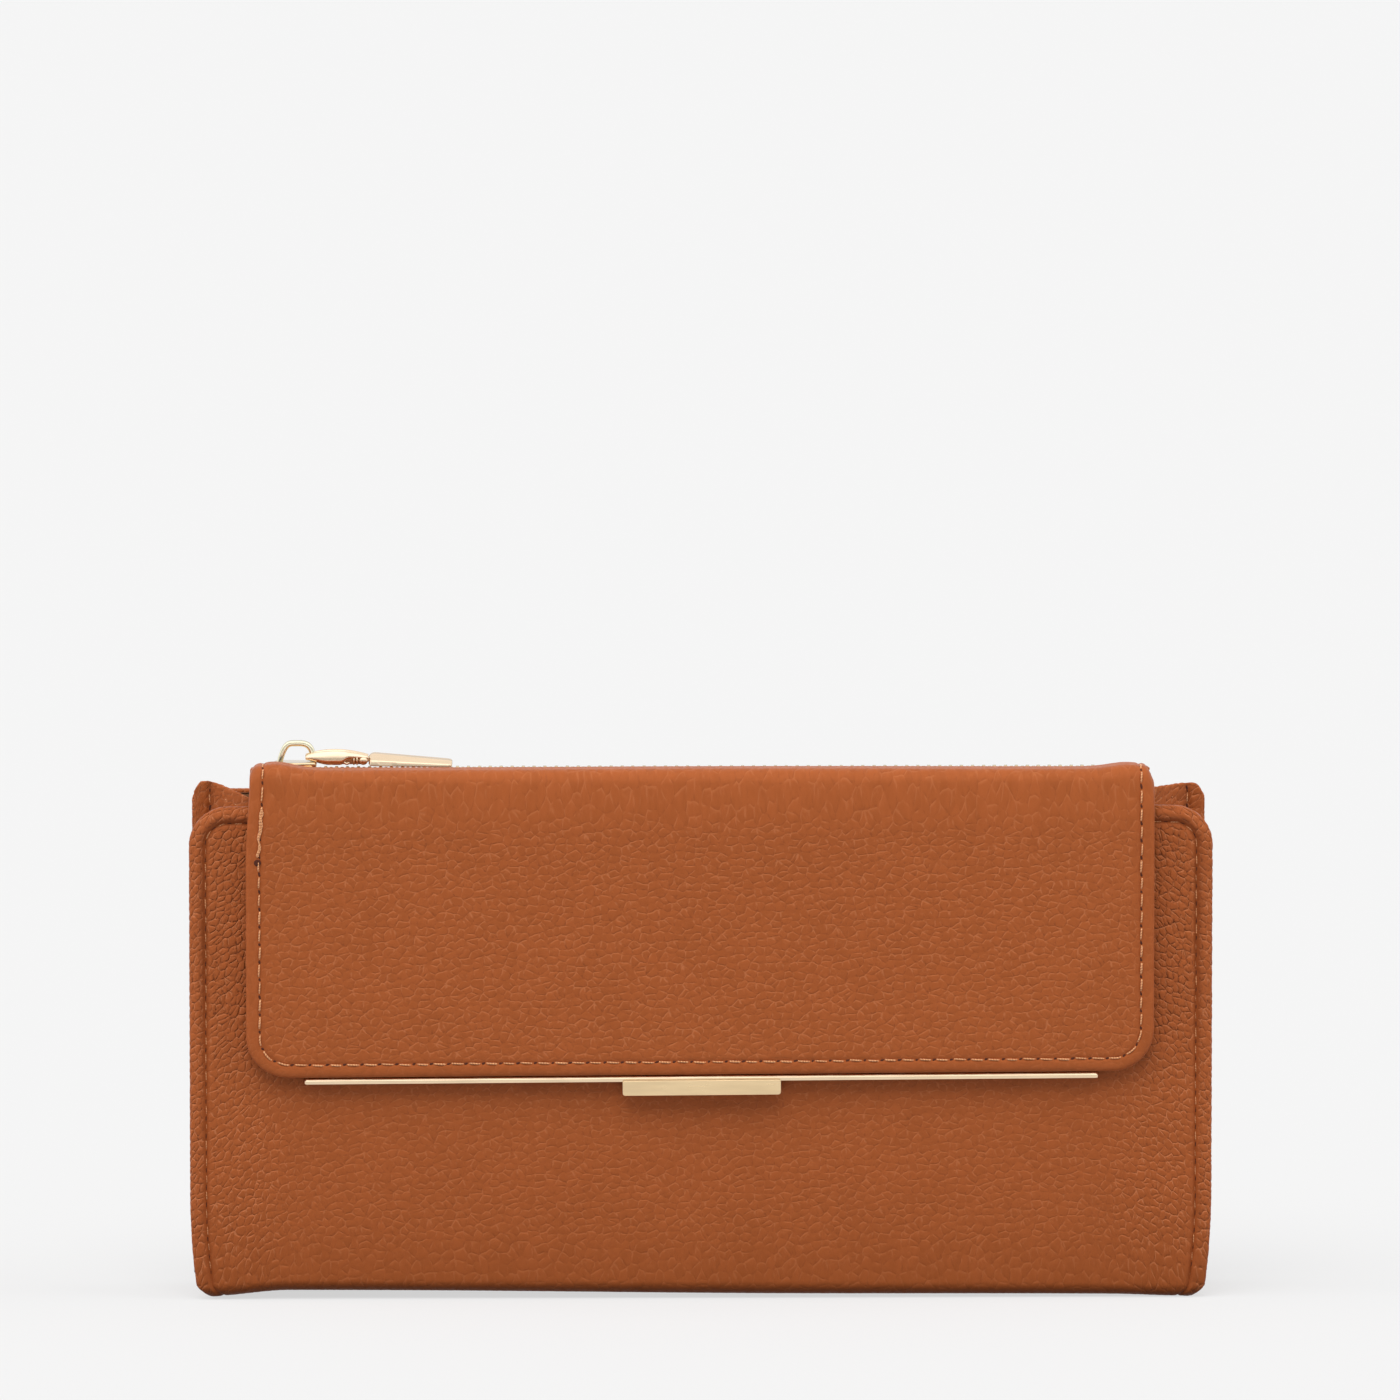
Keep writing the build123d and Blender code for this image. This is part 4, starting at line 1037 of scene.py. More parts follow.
class Leaf:
    """A gusset leaf: a path in plan, rising to a sloped top. Laid out as (u, z, h)."""

    def __init__(self, path, thick):
        path = np.array(path, float)
        run = run_length(path.T)
        fine = np.linspace(0, 1, 60) * run[-1]
        # Corners of the path are eased by averaging the straight line over a short window.
        sample = np.clip(fine[:, None] + np.linspace(-1.3, 1.3, 9)[None], 0, run[-1])
        self.x, self.y = (np.interp(sample, run, line).mean(1) for line in path.T)
        self.x[0], self.y[0], self.x[-1], self.y[-1] = *path[0], *path[-1]
        self.u = run_length((self.x, self.y))
        self.thick = thick

    def place(self, u, z, h):
        x, y = np.interp(u, self.u, self.x), np.interp(u, self.u, self.y)
        dx = np.interp(u + 0.3, self.u, self.x) - np.interp(u - 0.3, self.u, self.x)
        dy = np.interp(u + 0.3, self.u, self.y) - np.interp(u - 0.3, self.u, self.y)
        size = np.maximum(np.hypot(dx, dy), 1e-6)
        h = np.asarray(h, float)
        return stacked(x - dy / size * h, y + dx / size * h, z)


class LeafSide:
    """One face of a leaf, as a place to sew on."""

    def __init__(self, leaf, outer):
        self.leaf, self.outer = leaf, outer

    def place(self, u, z, h):
        return self.leaf.place(u, z, self.outer * (self.leaf.thick / 2 + np.asarray(h, float)))


def leaf_mesh(leaf, top, seam=None):
    """Both faces of a leaf and its rounded top, as a skin. Top is a function of u; outside its seam a leaf is
    plumper, and the seam itself is pulled in."""
    half, steps, low = leaf.thick / 2, 190, LEAF_FOOT
    us = np.linspace(0, leaf.u[-1], max(int(leaf.u[-1] / CELL), 6))
    rise = np.linspace(0, 1, steps)
    bend = np.radians(np.linspace(0, 180, 7))[1:-1]
    rows = []
    for u in us:
        t = float(top(u)) - half
        wide = half
        if seam:
            wide += 0.22 * math.sin(math.pi * min(u / seam, 1)) - 0.16 * math.exp(-((u - seam) / 0.4) ** 2)
        up = low + (t - low) * rise
        rows.append((np.concatenate([up, t + half * np.sin(bend), up[::-1]]),
                     np.concatenate([np.full(steps, wide), wide * np.cos(bend), np.full(steps, -wide)]),
                     np.concatenate([up, t + half * bend, 2 * t - low - (t - low) * rise[::-1]])))
    zs, hs, vs = (np.array(part) for part in zip(*rows))
    uu = np.broadcast_to(us[:, None], zs.shape)
    faces = quads(*zs.shape, wrap=True)
    grain = stacked(uu, vs + 0.8 * uu).reshape(-1, 2)
    relief = np.full(zs.size, 1.5)
    # Painted shade: the colour darkens in a narrow band along the leaf's seam.
    dark = 0.7 * np.exp(-((uu - seam) / 0.7) ** 2) if seam else 0.0 * uu
    shaped = emboss(leaf.place(uu, zs, hs).reshape(-1, 3), faces, grain, relief, 0.08)
    m = zs.shape[1]
    caps = []
    for start, step in ((0, -1), ((len(us) - 1) * m, 1)):
        for k in range(m // 2):
            quad = (start + k, start + k + 1, start + m - 2 - k, start + m - 1 - k)
            if len(set(quad)) == 4:
                caps.append(quad[::step])
    return Skin(shaped, faces.tolist() + caps, grain, relief, dark.ravel(), None)


def gusset_leaf(where, which):
    """One leaf, sewn to a panel at its outer edge and to the pouch's wall at its inner one."""
    turn, side, panel = (1 if where == "left" else -1), (-1 if which == "front" else 1), PANEL_OF[which]
    tall = cad(f"gusset_{where}_{which}_leaf")[1][2]
    wall_y, seam_y = WALL_Y + 0.4, -LINING_IN - 0.35
    reach = PANEL_HALF - (0.4 if which == "rear" else 2.2)
    margin = reach - LEAF_SEAM_X
    panel_end, fold_end, wall_end = 92.4, 86.2, 83.6
    path = [(-reach, seam_y), (-panel_end, seam_y), (-fold_end, wall_y), (-wall_end, wall_y)]
    leaf = Leaf([(turn * x, side * y) for x, y in path], 0.75)
    # The photograph shows the left rear leaf's top, which rises to the corner.
    slope, extra = (0.3, 0.65) if (where, which) == ("left", "rear") else (0.06, 0.0)

    def top(u):
        return tall + extra - 2.0 * np.clip(1 - u / 1.5, 0, 1) ** 1.4 - slope * max(u - margin, 0)

    def bend(made):
        side * (wall_y + 0.6) * MM
        side * (seam_y - 0.4) * MM
        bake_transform(made)
    piece = skin_piece(f"gusset_{where}_{which}_skin", leaf_mesh(leaf, top, margin), LEATHER)
    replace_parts(piece, f"gusset_{where}_{which}_leaf")
    bend(piece)
    upright = (np.full(300, margin), np.linspace(tall - 0.2, 6, 300))
    u = np.arange(margin + 0.6, leaf.u[-1] - 1, 0.4)
    hem = (u, np.array([top(v) for v in u]) - 2.4)
    face = LeafSide(leaf, -1 if side * turn > 0 else 1)
    for label, line in (("seam", upright), ("hem", hem)):
        for made in stitches(f"gusset_{where}_{which}_{label}", face, line, height=-0.25, radius=0.11,
                             hole=(0.75, 0.3), proud=0.16):
            bend(made)


def gussets():
    """The folded side walls: a leaf sewn to each panel, and the pouch's closed end between them."""
    for where, turn in (("left", 1), ("right", -1)):
        for which in PANEL_OF:
            gusset_leaf(where, which)
        name = f"gusset_{where}_middle"
        low, high = cad(name)
        inner, crease = min(abs(low[0]), abs(high[0])) + 0.2, max(abs(low[0]), abs(high[0])) - 0.5
        leaf = Leaf([(-turn * inner, -POUCH_IN), (-turn * crease, 0), (-turn * inner, POUCH_IN)], 0.7)
        piece = skin_piece(name + "_skin", leaf_mesh(leaf, lambda _: high[2]), LEATHER)
        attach(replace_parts(piece, name), "root")


# ---------------------------------------------------------------- metal

def prism(outline, low, high, bevel, axis="Z", segments=3):
    """A plate with rounded edges. The outline is in the plane across the axis: (x, y) for Z, (x, z) for Y."""
    mesh = bmesh.new()
    face = mesh.faces.new([mesh.verts.new((a, b, low)) for a, b in outline])
    raised = bmesh.ops.extrude_face_region(mesh, geom=[face])["geom"]
    lifted = [v for v in raised if isinstance(v, bmesh.types.BMVert)]
    bmesh.ops.translate(mesh, vec=(0, 0, high - low), verts=lifted)
    bmesh.ops.recalc_face_normals(mesh, faces=mesh.faces[:])
    if bevel:
        sharp = [e for e in mesh.edges if e.calc_face_angle(0) > 0.45]
        bmesh.ops.bevel(mesh, geom=sharp, offset=bevel, segments=segments, profile=0.5, affect="EDGES",
                        clamp_overlap=True)
    points = np.array([v.co[:] for v in mesh.verts])
    faces = [tuple(v.index for v in f.verts) for f in mesh.faces]
    mesh.free()
    if axis == "Y":
        points = points[:, [0, 2, 1]]
        faces = [f[::-1] for f in faces]
    return points, faces


def merged(parts):
    points, faces, start = [], [], 0
    for part_points, part_faces in parts:
        points.append(np.asarray(part_points, float).reshape(-1, 3))
        faces += [tuple(int(v) + start for v in f) for f in part_faces]
        start += len(points[-1])
    return np.concatenate(points), faces


def metal(name, parts, material, body, nodes):
    """A metal piece joined from parts, riding on a body and standing for CAD nodes."""
    points, faces = merged(parts)
    piece = make(name, points, faces, material)
    piece.modifiers.new("even_shading", "WEIGHTED_NORMAL").keep_sharp = True
    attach(piece, body)
    if nodes:
        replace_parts(piece, *nodes)


def loft(rings, capped=True):
    """A tube through rings of points, all with the same count."""
    rings = np.array(rings, float)
    count, m = rings.shape[:2]
    return rings.reshape(-1, 3), quads(count, m, wrap=True).tolist() + (end_caps(count, m) if capped else [])


def lathe(profile, centre, steps=40):
    """A profile of (radius, distance along Y) turned about an axis along Y through a centre."""
    turn = turns(steps)
    return loft([stacked(centre[0] + r * np.cos(turn), centre[1] + along, centre[2] + r * np.sin(turn))
                 for r, along in profile], False)


def shrunk(outline, share, centre):
    """An outline drawn in towards a centre by a share."""
    return [tuple(c + (v - c) * share for v, c in zip(point, centre)) for point in outline]


def trim():
    """The gold bar along the flap's edge, its tab, and the rivets behind."""
    front, back, half, low = BAR_LOW[1], BAR_HIGH[1], BAR_HIGH[0], BAR_LOW[2]
    top, round_end = FLAP_EDGE_Z - 0.04, 0.7
    crown, middle = low + 0.9 * (top - low), (low + top) / 2
    outline = [(front + 0.05, low), (front, middle), (front + 0.34, crown), (back, top), (back, low)]
    outline = rounded(outline, 0.1)
    rings = []
    for d in (0.0, 0.05, 0.15, 0.3, 0.5, round_end):
        share = 0.3 + 0.7 * math.sqrt(1 - (1 - d / round_end) ** 2)
        rings.append([(d - half, y, z) for y, z in shrunk(outline, share, (back, middle))])
    rings += [[(d - half, y, z) for y, z in outline] for d in np.linspace(round_end, half, 60)[1:]]
    rings += [[(-x, y, z) for x, y, z in ring] for ring in rings[-2::-1]]
    points, faces = loft([ring[::-1] for ring in rings])
    metal("trim_bar_gold", [(flap_settle(points), faces)], BAR_GOLD, "flap", ("trim_bar",))
    outline = box_outline(TAB_LOW[0], TAB_HIGH[0], TAB_LOW[2], low + 0.35, 0.6)
    points, faces = prism(outline, TAB_LOW[1], back, 0.3, "Y", 4)
    metal("trim_tab_gold", [(flap_settle(points), faces)], SATIN_GOLD, "flap", ("trim_tab",))
    profile = [(1e-3, 0.62), (0.5, 0.6), (0.95, 0.48), (1.3, 0.28), (1.4, 0.08), (1.4, 0.0), (0.7, -0.02)]
    low, high = cad("trim_rivets")
    middle = (low[2] + high[2]) / 2
    rivets = [lathe(profile, (x, LINING_Y - 0.02, middle + FLAP_TILT * x), 20) for x in RIVET_X]
    metal("trim_rivet_heads", rivets, GOLD, "flap", ("trim_rivets",))


def snap():
    """Magnetic snap: a cup in the front panel and a stud on the flap's lining."""
    face = cad("snap_cup")[0][1]
    cup = [(2.7, 1.6), (2.7, 0.35), (2.9, 0.12), (3.2, 0.06), (3.6, 0.16), (4.2, 0.2), (4.7, 0.08),
           (5.4, 0.0), (6.3, 0.02), (6.8, 0.14), (7.0, 0.36), (7.0, 0.6)]
    floor_of_cup = [(1e-3, 1.2), (2.75, 1.2)]
    parts = [lathe(profile, (0, face, SNAP_Z)) for profile in (cup, floor_of_cup)]
    metal("snap_cup_gold", parts, GOLD, "front_panel", ("snap_cup",))
    stud = [(1e-3, 1.58), (1.4, 1.55), (1.9, 1.4), (2.1, 1.1), (2.1, 0.5), (2.5, 0.42), (4.6, 0.4),
            (5.7, 0.33), (6.1, 0.2), (6.2, 0.0), (6.2, -0.1)]
    limit = face + 1.15 - LINING_Y
    stud = lathe([(r, min(d, limit)) for r, d in stud], (0, LINING_Y, SNAP_Z))
    metal("snap_stud_gold", [stud], GOLD, "flap", ("snap_stud",))


def tooth(x, side, middle):
    """A tooth of a row: a clamp on the tape's cord with a rounded head that meets the other row.
    Its rings are (distance from the chain's middle, half width, half height)."""
    rings = ((2.15, 0.40, 0.86), (2.0, 0.47, 1.0), (0.9, 0.48, 1.05), (0.2, 0.43, 1.0), (-0.35, 0.36, 0.86),
             (-0.72, 0.2, 0.5))
    cut = 0.55
    corner = [(-1, -cut), (-cut, -1), (cut, -1), (1, -cut), (1, cut), (cut, 1), (-cut, 1), (-1, cut)]
    tilt, m = RANDOM.uniform(-0.03, 0.03), len(corner)
    points = [(x + a * w + tilt * y, side * y, middle + 0.08 + b * t) for y, w, t in rings for a, b in corner]
    faces = quads(len(rings), m, wrap=True, flip=side > 0).tolist()
    ends = [tuple(range(m)), tuple(range(len(points) - 1, len(points) - m - 1, -1))]
    return points, faces + [end[::side] for end in ends]


def zip_teeth():
    """Two rows of teeth, and the stops at their ends."""
    middle, half = (TEETH_LOW[2] + TEETH_HIGH[2]) / 2, 2.1
    for side, name in ((-1, "front"), (1, "rear")):
        first = TEETH_LOW[0] + TOOTH_WIDTH / 2 + (0 if side < 0 else TOOTH_PITCH / 2)
        parts = [tooth(first + TOOTH_PITCH * n, side, middle) for n in range(TEETH_PER_ROW)]
        metal(f"zip_teeth_{name}_gold", parts, GOLD, "root", (f"zip_teeth_{name}",))
    stop = prism(box_outline(STOP_LOW[0], STOP_HIGH[0], -half, half, 0.3), STOP_LOW[2], STOP_HIGH[2], 0.25)
    metal("zip_bottom_stop_gold", [stop], GOLD, "root", ("zip_bottom_stop",))
    low, high = cad("zip_top_stops")
    plans = [box_outline(low[0], high[0], *sorted((side * 0.15, side * half)), 0.2) for side in (-1, 1)]
    stops = [prism(plan, low[2], high[2], 0.2) for plan in plans]
    metal("zip_top_stops_gold", stops, GOLD, "root", ("zip_top_stops",))


def zip_tapes():
    """The zip's two tapes, which follow its level."""
    low, high = cad("zip_tape_front")
    for side, name in ((-1, "front"), (1, "rear")):
        ys = np.linspace(abs(high[1]), abs(low[1]), 8) * side
        section = [(y, tape_height(y) + TAPE_HALF) for y in ys]
        section += [(y, tape_height(y) - TAPE_HALF) for y in ys[::-1]]
        tape = swept(f"zip_tape_{name}_woven", section[::side], low[0], high[0], TAPE, 0, 1.5)
        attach(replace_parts(tape, f"zip_tape_{name}"), "root")


def leather_strip(name, section, x_low, x_high):
    """A narrow strip of the outer leather, with its edges rounded."""
    return swept(name, refined(rounded(section, 0.3), 0.5), x_low, x_high, LEATHER)


def zip_strips():
    """The strip that sews the flap down behind the zip, and the binding along the zip's rear side."""
    low, high = cad("flap_seam_strip")
    section = [(low[1] - 0.1, low[2] + 0.02), (high[1], low[2] + 0.02), (high[1], high[2] - 0.35),
               (low[1] - 0.1, high[2] - 0.05)]
    strip = leather_strip("flap_seam_leather", section, low[0] + 0.7, high[0] - 0.5)
    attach(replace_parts(strip, "flap_seam_strip"), "root")
    low, high = cad("zip_rear_binding")
    inner, outer, foot = low[1], high[1], low[2] - 0.4
    z_in, z_out = tape_height(inner) + 0.3, tape_height(outer) + 0.3
    section = [(inner, z_in), (outer - 0.4, z_out), (outer - 0.4, foot), (outer + 0.25, foot),
               (outer + 0.25, z_out + 0.45), (inner + 0.2, z_in + 0.6)]
    binding = leather_strip("zip_rear_binding_leather", section, low[0], high[0])
    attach(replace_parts(binding, "zip_rear_binding"), "root")


def zip_tabs():
    """The leather tabs that cover the zip's ends."""
    for where in ("left", "right"):
        low, high = cad(f"zip_tab_{where}")
        outline = box_outline(low[0], high[0], low[1], high[1], 1.2)
        points, faces = prism(outline, low[2], low[2] + 0.7, 0.3)
        points[:, 2] -= TAPE_MIDDLE - tape_height(points[:, 1])
        tab = make(f"zip_tab_{where}_leather", points, faces, LEATHER, points[:, :2],
                   np.full(len(points), 0.5))
        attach(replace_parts(tab, f"zip_tab_{where}"), "root")


def slider():
    """The zip's slider: two waisted plates, flanges, the wedge between them, and the arched bail."""
    left, right, half = SLIDER_LOW[0], SLIDER_HIGH[0], SLIDER_HIGH[1]
    middle, plate = (left + right) / 2, 0.85
    front_edge = [(left, -half * 0.72), (left + 1.2, -half), (middle + 0.4, -half), (right, -half * 0.7)]
    plan = front_edge + [(x, -y) for x, y in front_edge[::-1]]
    plan = [tuple(p) for p in rounded(plan, 0.7, 4)]
    top, under = SLIDER_HIGH[2], SLIDER_LOW[2]
    parts = [prism(plan, top - plate, top, 0.3), prism(plan, under, under + plate, 0.3)]
    for side in (-1, 1):
        rail = box_outline(left + 1.0, right - 0.8, *sorted((side * 2.35, side * (half - 0.1))), 0.3)
        parts.append(prism(rail, top - 1.55, top - 0.7, 0.15))
        parts.append(prism(rail, under + 0.7, under + 1.55, 0.15))
    wedge = [(left + 0.2, -0.7), (left + 3.4, -0.2), (left + 3.4, 0.2), (left + 0.2, 0.7)]
    parts.append(prism(wedge, under + 0.4, top - 0.4, 0.1))
    metal("slider_body_gold", parts, GOLD, "slider", ("slider_body",))
    metal("slider_bail_gold", [bail()], PALE_GOLD, "slider", ("slider_bail",))


def bail():
    """An arch of flat strip with softened edges: a D whose left side leans in towards its crown."""
    thick, half_width, edge, lean = 1.1, 1.05, 0.42, 0.9
    left, right = BAIL_LOW[0] + thick / 2 - 0.4, BAIL_HIGH[0] - thick / 2
    foot, rise = SLIDER_HIGH[2] - 0.2, BAIL_HIGH[2] - thick / 2 - SLIDER_HIGH[2] + 0.2
    turn = np.linspace(math.pi, 0, 33)
    x = (left + right) / 2 + (right - left) / 2 * np.sign(np.cos(turn)) * np.abs(np.cos(turn)) ** 0.6
    z = rise * np.abs(np.sin(turn)) ** 0.66
    x = x + lean * (z / rise) * (turn > math.pi / 2) * np.abs(np.cos(turn))
    path = stacked(x, foot + z)
    along = np.gradient(path, axis=0)
    along /= np.linalg.norm(along, axis=1)[:, None]
    across, up = np.array(box_outline(-half_width, half_width, -thick / 2, thick / 2, edge)).T
    path, along = path[:, None], along[:, None]
    return loft(stacked(path[..., 0] - along[..., 1] * up, across, path[..., 1] + along[..., 0] * up), False)


def link_side(side):
    """One cheek of the link: an almond in side view with a section like a drop, thick at its crown."""
    turn = turns(18)
    rings = []
    for t in np.linspace(0, 1, 34):
        x = -0.45 + t * (LINK_LENGTH + 0.2)
        bulge = math.sin(math.pi * (0.06 + 0.9 * t)) ** 0.8
        top = 0.2 + 1.25 * bulge * (1 - 0.12 * t)
        under = -0.25 - 1.15 * float(smooth(t, -0.1, 0.4) * smooth(t, 0.7, 0.56))
        out = 2.0 - 0.55 * float(1 - smooth(t, 0, 0.3)) - 0.45 * float(smooth(t, 0.7, 1))
        y = side * (out + (0.3 + 0.25 * bulge) * np.cos(turn) * (1 - 0.5 * np.sin(turn)))
        z = (top + under) / 2 + (top - under) / 2 * np.sin(turn)
        rings.append(stacked(x, y, z)[::side])
    return loft(rings)


def ring_part(centre, radius, wire_r, start, end):
    """Part of a ring of round wire in the XZ plane."""
    phi = turns(10)
    rings = []
    for angle in np.radians(np.linspace(start, end, 26)):
        r = radius + wire_r * np.cos(phi)
        rings.append(stacked(centre[0] + r * math.cos(angle), centre[1] + wire_r * np.sin(phi),
                             centre[2] + r * math.sin(angle)))
    return loft(rings)


def bead(centre, size):
    """A rounded lump with half sizes along X, Y and Z."""
    rings = []
    turn = turns(16)
    for angle in np.linspace(0.05, math.pi - 0.05, 14):
        r = math.sin(angle)
        rings.append(stacked(centre[0] - size[0] * math.cos(angle), centre[1] + size[1] * r * np.cos(turn),
                             centre[2] + size[2] * r * np.sin(turn)))
    return loft(rings)


def disc(x, z, radius, half, bevel=0.0):
    """A round bar along Y at a place in X and Z."""
    outline = [(x + radius * math.cos(a), z + radius * math.sin(a)) for a in turns(18)]
    return prism(outline, -half, half, bevel, "Y")


def on_link(parts):
    """Parts of the link, laid out from its pivot, put in their place."""
    px, pz = LINK_PIVOT
    return [(np.array(points) + (px, 0, pz), faces) for points, faces in parts]


def pull_link():
    """The almond-shaped link that hangs on the bail, and the two plates of its fork, coloured dark as painted
    shade in the gaps between the beads.
    """
    parts = [link_side(-1), link_side(1), disc(0, 0, 0.5, 1.75, 0.15), disc(*PIN, 0.4, 1.9)]
    parts.append(prism(box_outline(7.0, 7.6, -0.4, 0.95, 0.2), -1.7, 1.7, 0.1, "Y"))
    for side in (-1, 1):
        parts.append(ring_part((7.45, side * 2.2, -0.5), 0.62, 0.25, 40, 320))
        for x in (8.8, 9.4):
            parts.append(bead((x, side * 2.0, -0.5), (0.27, 0.45, 0.95)))
        parts.append(bead((10.6, side * 1.9, -0.6), (0.85, 0.5, 0.8)))
    metal("pull_link_gold", on_link(parts), ROSE_GOLD, "link", ("pull_link",))
    # Painted shade: the fork's plates are dark gold and fill the gaps behind the beads.
    plates = [prism(box_outline(6.4, 11.2, -1.3, 0.1, 0.3), *sorted((side * 1.15, side * 1.5)), 0.1, "Y")
              for side in (-1, 1)]
    metal("pull_link_fork", on_link(plates), GOLD_IN_SHADE, "link", ())


def bar_blade(start):
    """The flat tapering blade of the bar, with facets along its sides and rounded ends."""
    rings = []
    for t in np.concatenate([np.linspace(0, 0.08, 8), np.linspace(0.1, 0.9, 20), np.linspace(0.92, 1, 8)]):
        ends = min(t / 0.08, (1 - t) / 0.06, 1.0)
        round_off = math.sqrt(max(1 - (1 - ends) ** 2, 0.0))
        wide = (2.75 - 0.5 * t) * (0.7 + 0.3 * round_off)
        tall = (1.15 - 0.55 * t) * (0.6 + 0.4 * round_off)
        facet, upper = (wide - 0.25 * tall, -0.05 * tall), wide - 1.6 * tall
        section = [(-wide, -tall), (wide, -tall), facet, (upper, tall), (-upper, tall), (-facet[0], facet[1])]
        rings.append([(start + t * (BAR_LENGTH - start), y, z) for y, z in rounded(section, 0.16)])
    return loft(rings)


def pull_bar():
    """The bar: an eye on the fork's pin, a neck, and the blade, rolled and sloped as in the photograph."""
    start = 2.75
    eye = disc(0, 0, 0.88, 1.05, 0.2)
    neck = prism(box_outline(0.5, start + 0.8, -0.42, 0.42, 0.2), -1.05, 1.05, 0.15, "Y")
    slope, roll = math.radians(BAR_SLOPE), math.radians(BAR_ROLL)
    placed = []
    for points, faces in (eye, neck, bar_blade(start)):
        x, y, z = np.array(points).T
        share = smooth(x, 1.5, 4.0)
        rolled = roll * share
        y, z = y * np.cos(rolled) - z * np.sin(rolled), y * np.sin(rolled) + z * np.cos(rolled) + 0.4 * share
        placed.append((stacked(x * math.cos(slope) + z * math.sin(slope) + LINK_PIVOT[0] + PIN[0], y,
                               -x * math.sin(slope) + z * math.cos(slope) + LINK_PIVOT[1] + PIN[1]), faces))
    metal("pull_bar_gold", placed, ROSE_GOLD, "pull", ("pull_bar",))


# ---------------------------------------------------------------- stage

PAPER = srgb(246, 246, 246)      # the photograph's backdrop


def camera():
    """A long lens, a little above the wallet and a touch to its left."""
    data = bpy.data.cameras.new("camera")
    data.lens, data.sensor_width, data.clip_end = 268.8, 36.0, 200
    made = bpy.data.objects.new("camera", data)
    bpy.context.scene.collection.objects.link(made)
    elevation, turn, distance = math.radians(4.5), math.radians(-1.2), 2.0
    aim = np.array((0.0, 0.0, 0.1137))
    level = math.cos(elevation)
    away = np.array((level * math.sin(turn), -level * math.cos(turn), math.sin(elevation)))
    made.location = aim + away * distance
    made.rotation_euler = (math.pi / 2 - elevation, 0, turn)
    bpy.context.scene.camera = made


def sun(name, azimuth, elevation, strength, angle):
    """A wide soft sun that metal doesn't mirror. Angles are in degrees."""
    data = bpy.data.lights.new(name, "SUN")
    data.energy, data.angle = strength, math.radians(angle)
    made = bpy.data.objects.new(name, data)
    made.rotation_euler = (math.radians(90 - elevation), 0, math.radians(azimuth))
    made.visible_glossy = False
    bpy.context.scene.collection.objects.link(made)


def emptied(made):
    """The cleared node tree of a new material or world."""
    made.use_nodes = True
    made.node_tree.nodes.clear()
    return made.node_tree


def ray(tree, *kinds):
    """1 where a ray is any of some kinds."""
    seen = wire(tree, "ShaderNodeLightPath")
    share = seen.beside(f"Is {kinds[0]} Ray")
    for kind in kinds[1:]:
        share = share.maths("MAXIMUM", seen.beside(f"Is {kind} Ray"))
    return share


def floor():
    """The pale floor: it glows a little where it is seen, so that it matches the backdrop, and the light it
    bounces is dim beside the wallet."""
    size = 60.0
    mesh = bpy.data.meshes.new("floor")
    corners = [(a, b, 0) for a, b in box_outline(-size, size, -size, size)]
    mesh.from_pydata(corners, [], [(0, 1, 2, 3)])
    made = bpy.data.materials.new("floor")
    tree = emptied(made)
    straight = ray(tree, "Camera", "Transmission", "Glossy")
    glow = wire(tree, "ShaderNodeEmission", {"Color": PAPER})
    out_by = vector("ABSOLUTE", wire(tree, "ShaderNodeTexCoord", output="Object"))
    out_by = vector("SUBTRACT", out_by, (PANEL_HALF * MM, -FRONT_Y * MM, 0))
    away = vector("LENGTH", vector("MAXIMUM", out_by, (0, 0, 0)), output="Value")
    bounce = mix(ramp(away, 0.004, 0.032), (0.06, 0.06, 0.06, 1), (0.5, 0.5, 0.5, 1))
    matt = wire(tree, "ShaderNodeBsdfDiffuse", {"Color": mix(straight, bounce, (0.665, 0.665, 0.665, 1))})
    both = wire(tree, "ShaderNodeMixShader", {0: straight * 0.68, 1: matt, 2: glow})
    node(tree, "ShaderNodeOutputMaterial", {0: both})
    mesh.materials.append(made)
    piece = bpy.data.objects.new("floor", mesh)
    bpy.context.scene.collection.objects.link(piece)


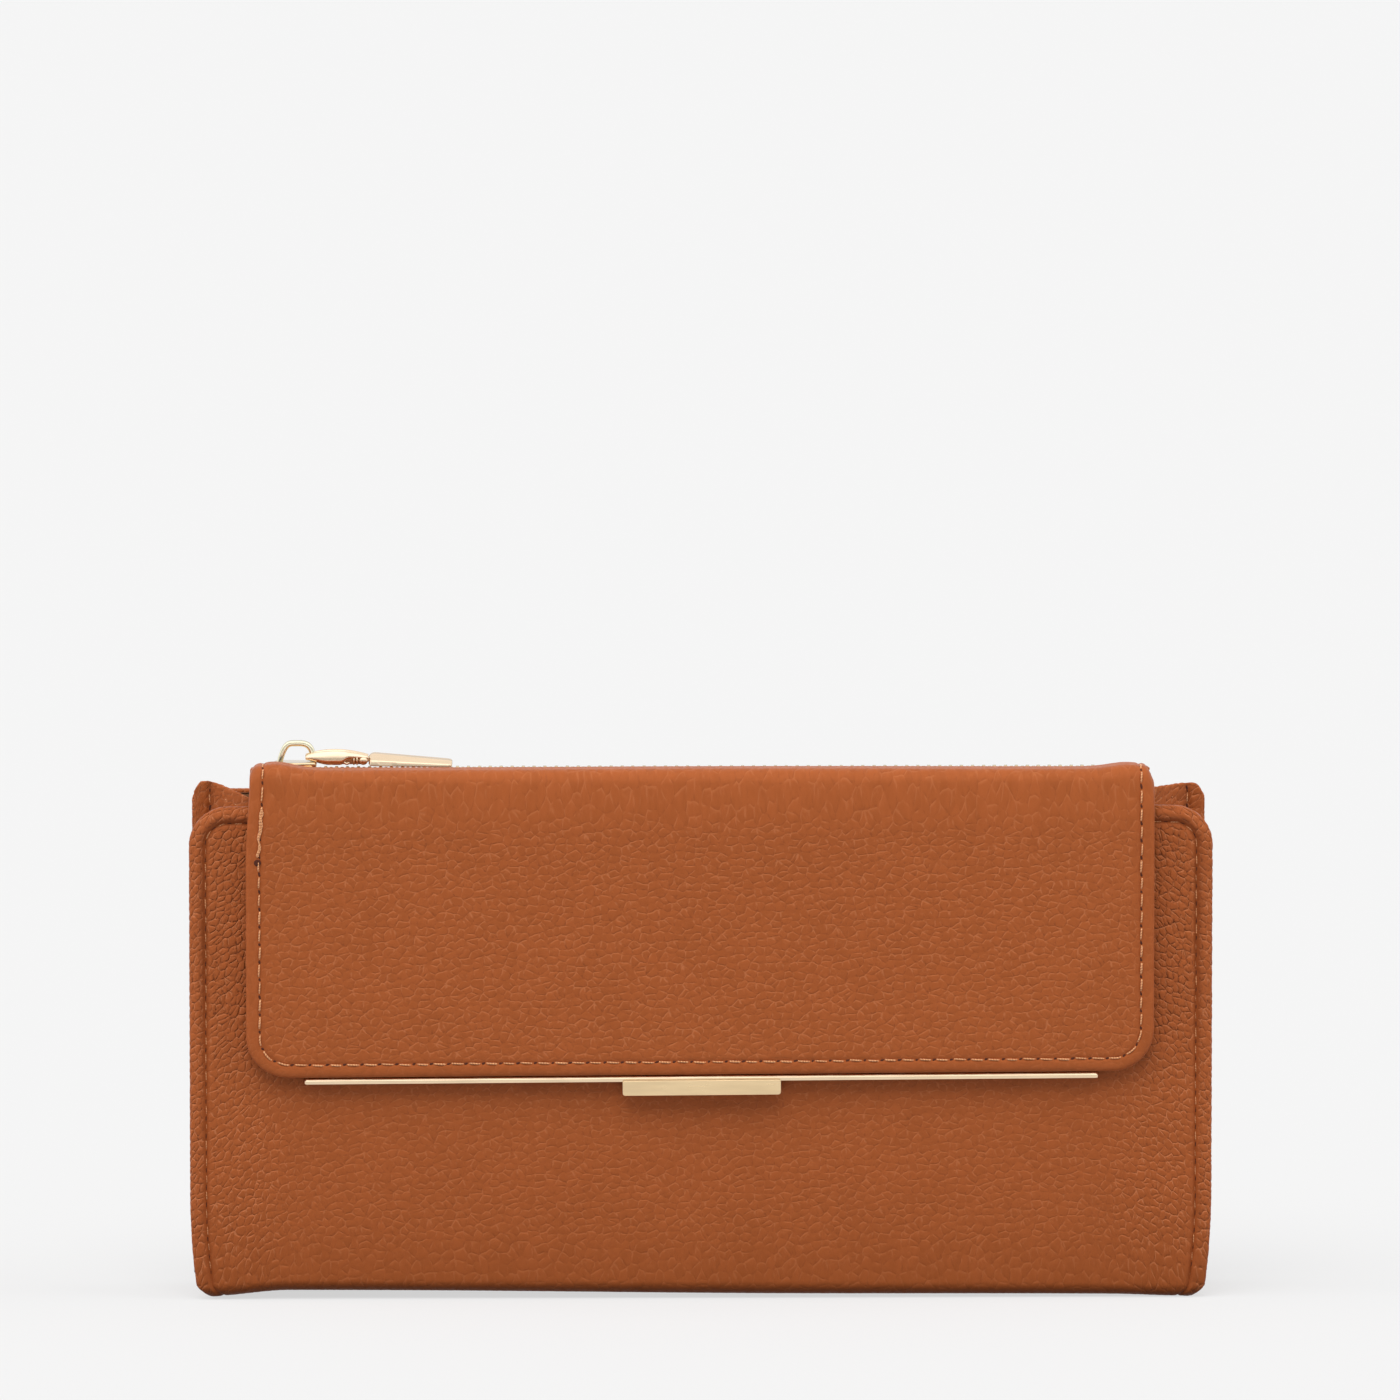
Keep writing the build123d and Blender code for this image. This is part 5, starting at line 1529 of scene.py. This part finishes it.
def world():
    """Even soft light. The camera sees the pale backdrop; shiny things see a dome that is brighter above and
    behind than at the sides, with a lamp high in front."""
    made = bpy.data.worlds.new("studio")
    tree = emptied(made)
    heading = wire(tree, "ShaderNodeTexCoord", output="Generated")
    y, z = (wire(tree, "ShaderNodeSeparateXYZ", {0: heading}, axis) for axis in ("Y", "Z"))
    bright = ramp(ramp(z, 0.05, 0.6).maths("MAXIMUM", ramp(y, -0.75, -0.35)), 0.0, 1.0, 0.45, 1.0)
    lamp = ramp(y, -0.2, -0.4) * (ramp(z, 0.3, 0.5) * ramp(z, 0.95, 0.8))

    def glow(colour, strength):
        return wire(tree, "ShaderNodeBackground", {"Color": colour, "Strength": strength})
    soft, dome = glow((1, 1, 1, 1), 0.44), glow((1, 1, 1, 1), bright + lamp * 0.7)
    light = wire(tree, "ShaderNodeMixShader", {0: ray(tree, "Glossy", "Transmission"), 1: soft, 2: dome})
    both = wire(tree, "ShaderNodeMixShader", {0: ray(tree, "Camera"), 1: light, 2: glow(PAPER, 1.0)})
    node(tree, "ShaderNodeOutputWorld", {0: both})
    bpy.context.scene.world = made


def stage():
    camera()
    floor()
    world()
    sun("key", -12, 57, 1.9, 48)
    sun("side_left", -80, 34, 1.15, 50)
    sun("side_right", 80, 34, 1.15, 50)
    bpy.context.scene.view_settings.view_transform = "Standard"


CAD_LOOKS = (
    (CLOTH, ("base_lining", "front_panel_lining", "back_panel_lining", "coin_lining")),
    (BOARD, ("base_board", "front_panel_board", "back_panel_board", "flap_board")),
    (FOAM, ("front_panel_padding", "back_panel_padding")),
)


def paint_cad():
    """Finishes of the CAD nodes that are shown as they are."""
    for name, made in frame["nodes"].items():
        made.data.materials.clear()
        look = INNER
        if name.startswith("zip_tape"):
            look = TAPE
        elif name.startswith(("zip", "slider", "pull", "trim", "snap")):
            look = GOLD
        for material, names in CAD_LOOKS:
            if name in names:
                look = material
        made.data.materials.append(look)


paint_cad()
stage()
shell(-1)
shell(1)
flap()
flap_lining()
panel_insides()
pouch()
base_inside()
gussets()
trim()
snap()
zip_teeth()
zip_tapes()
zip_strips()
zip_tabs()
slider()
pull_link()
pull_bar()
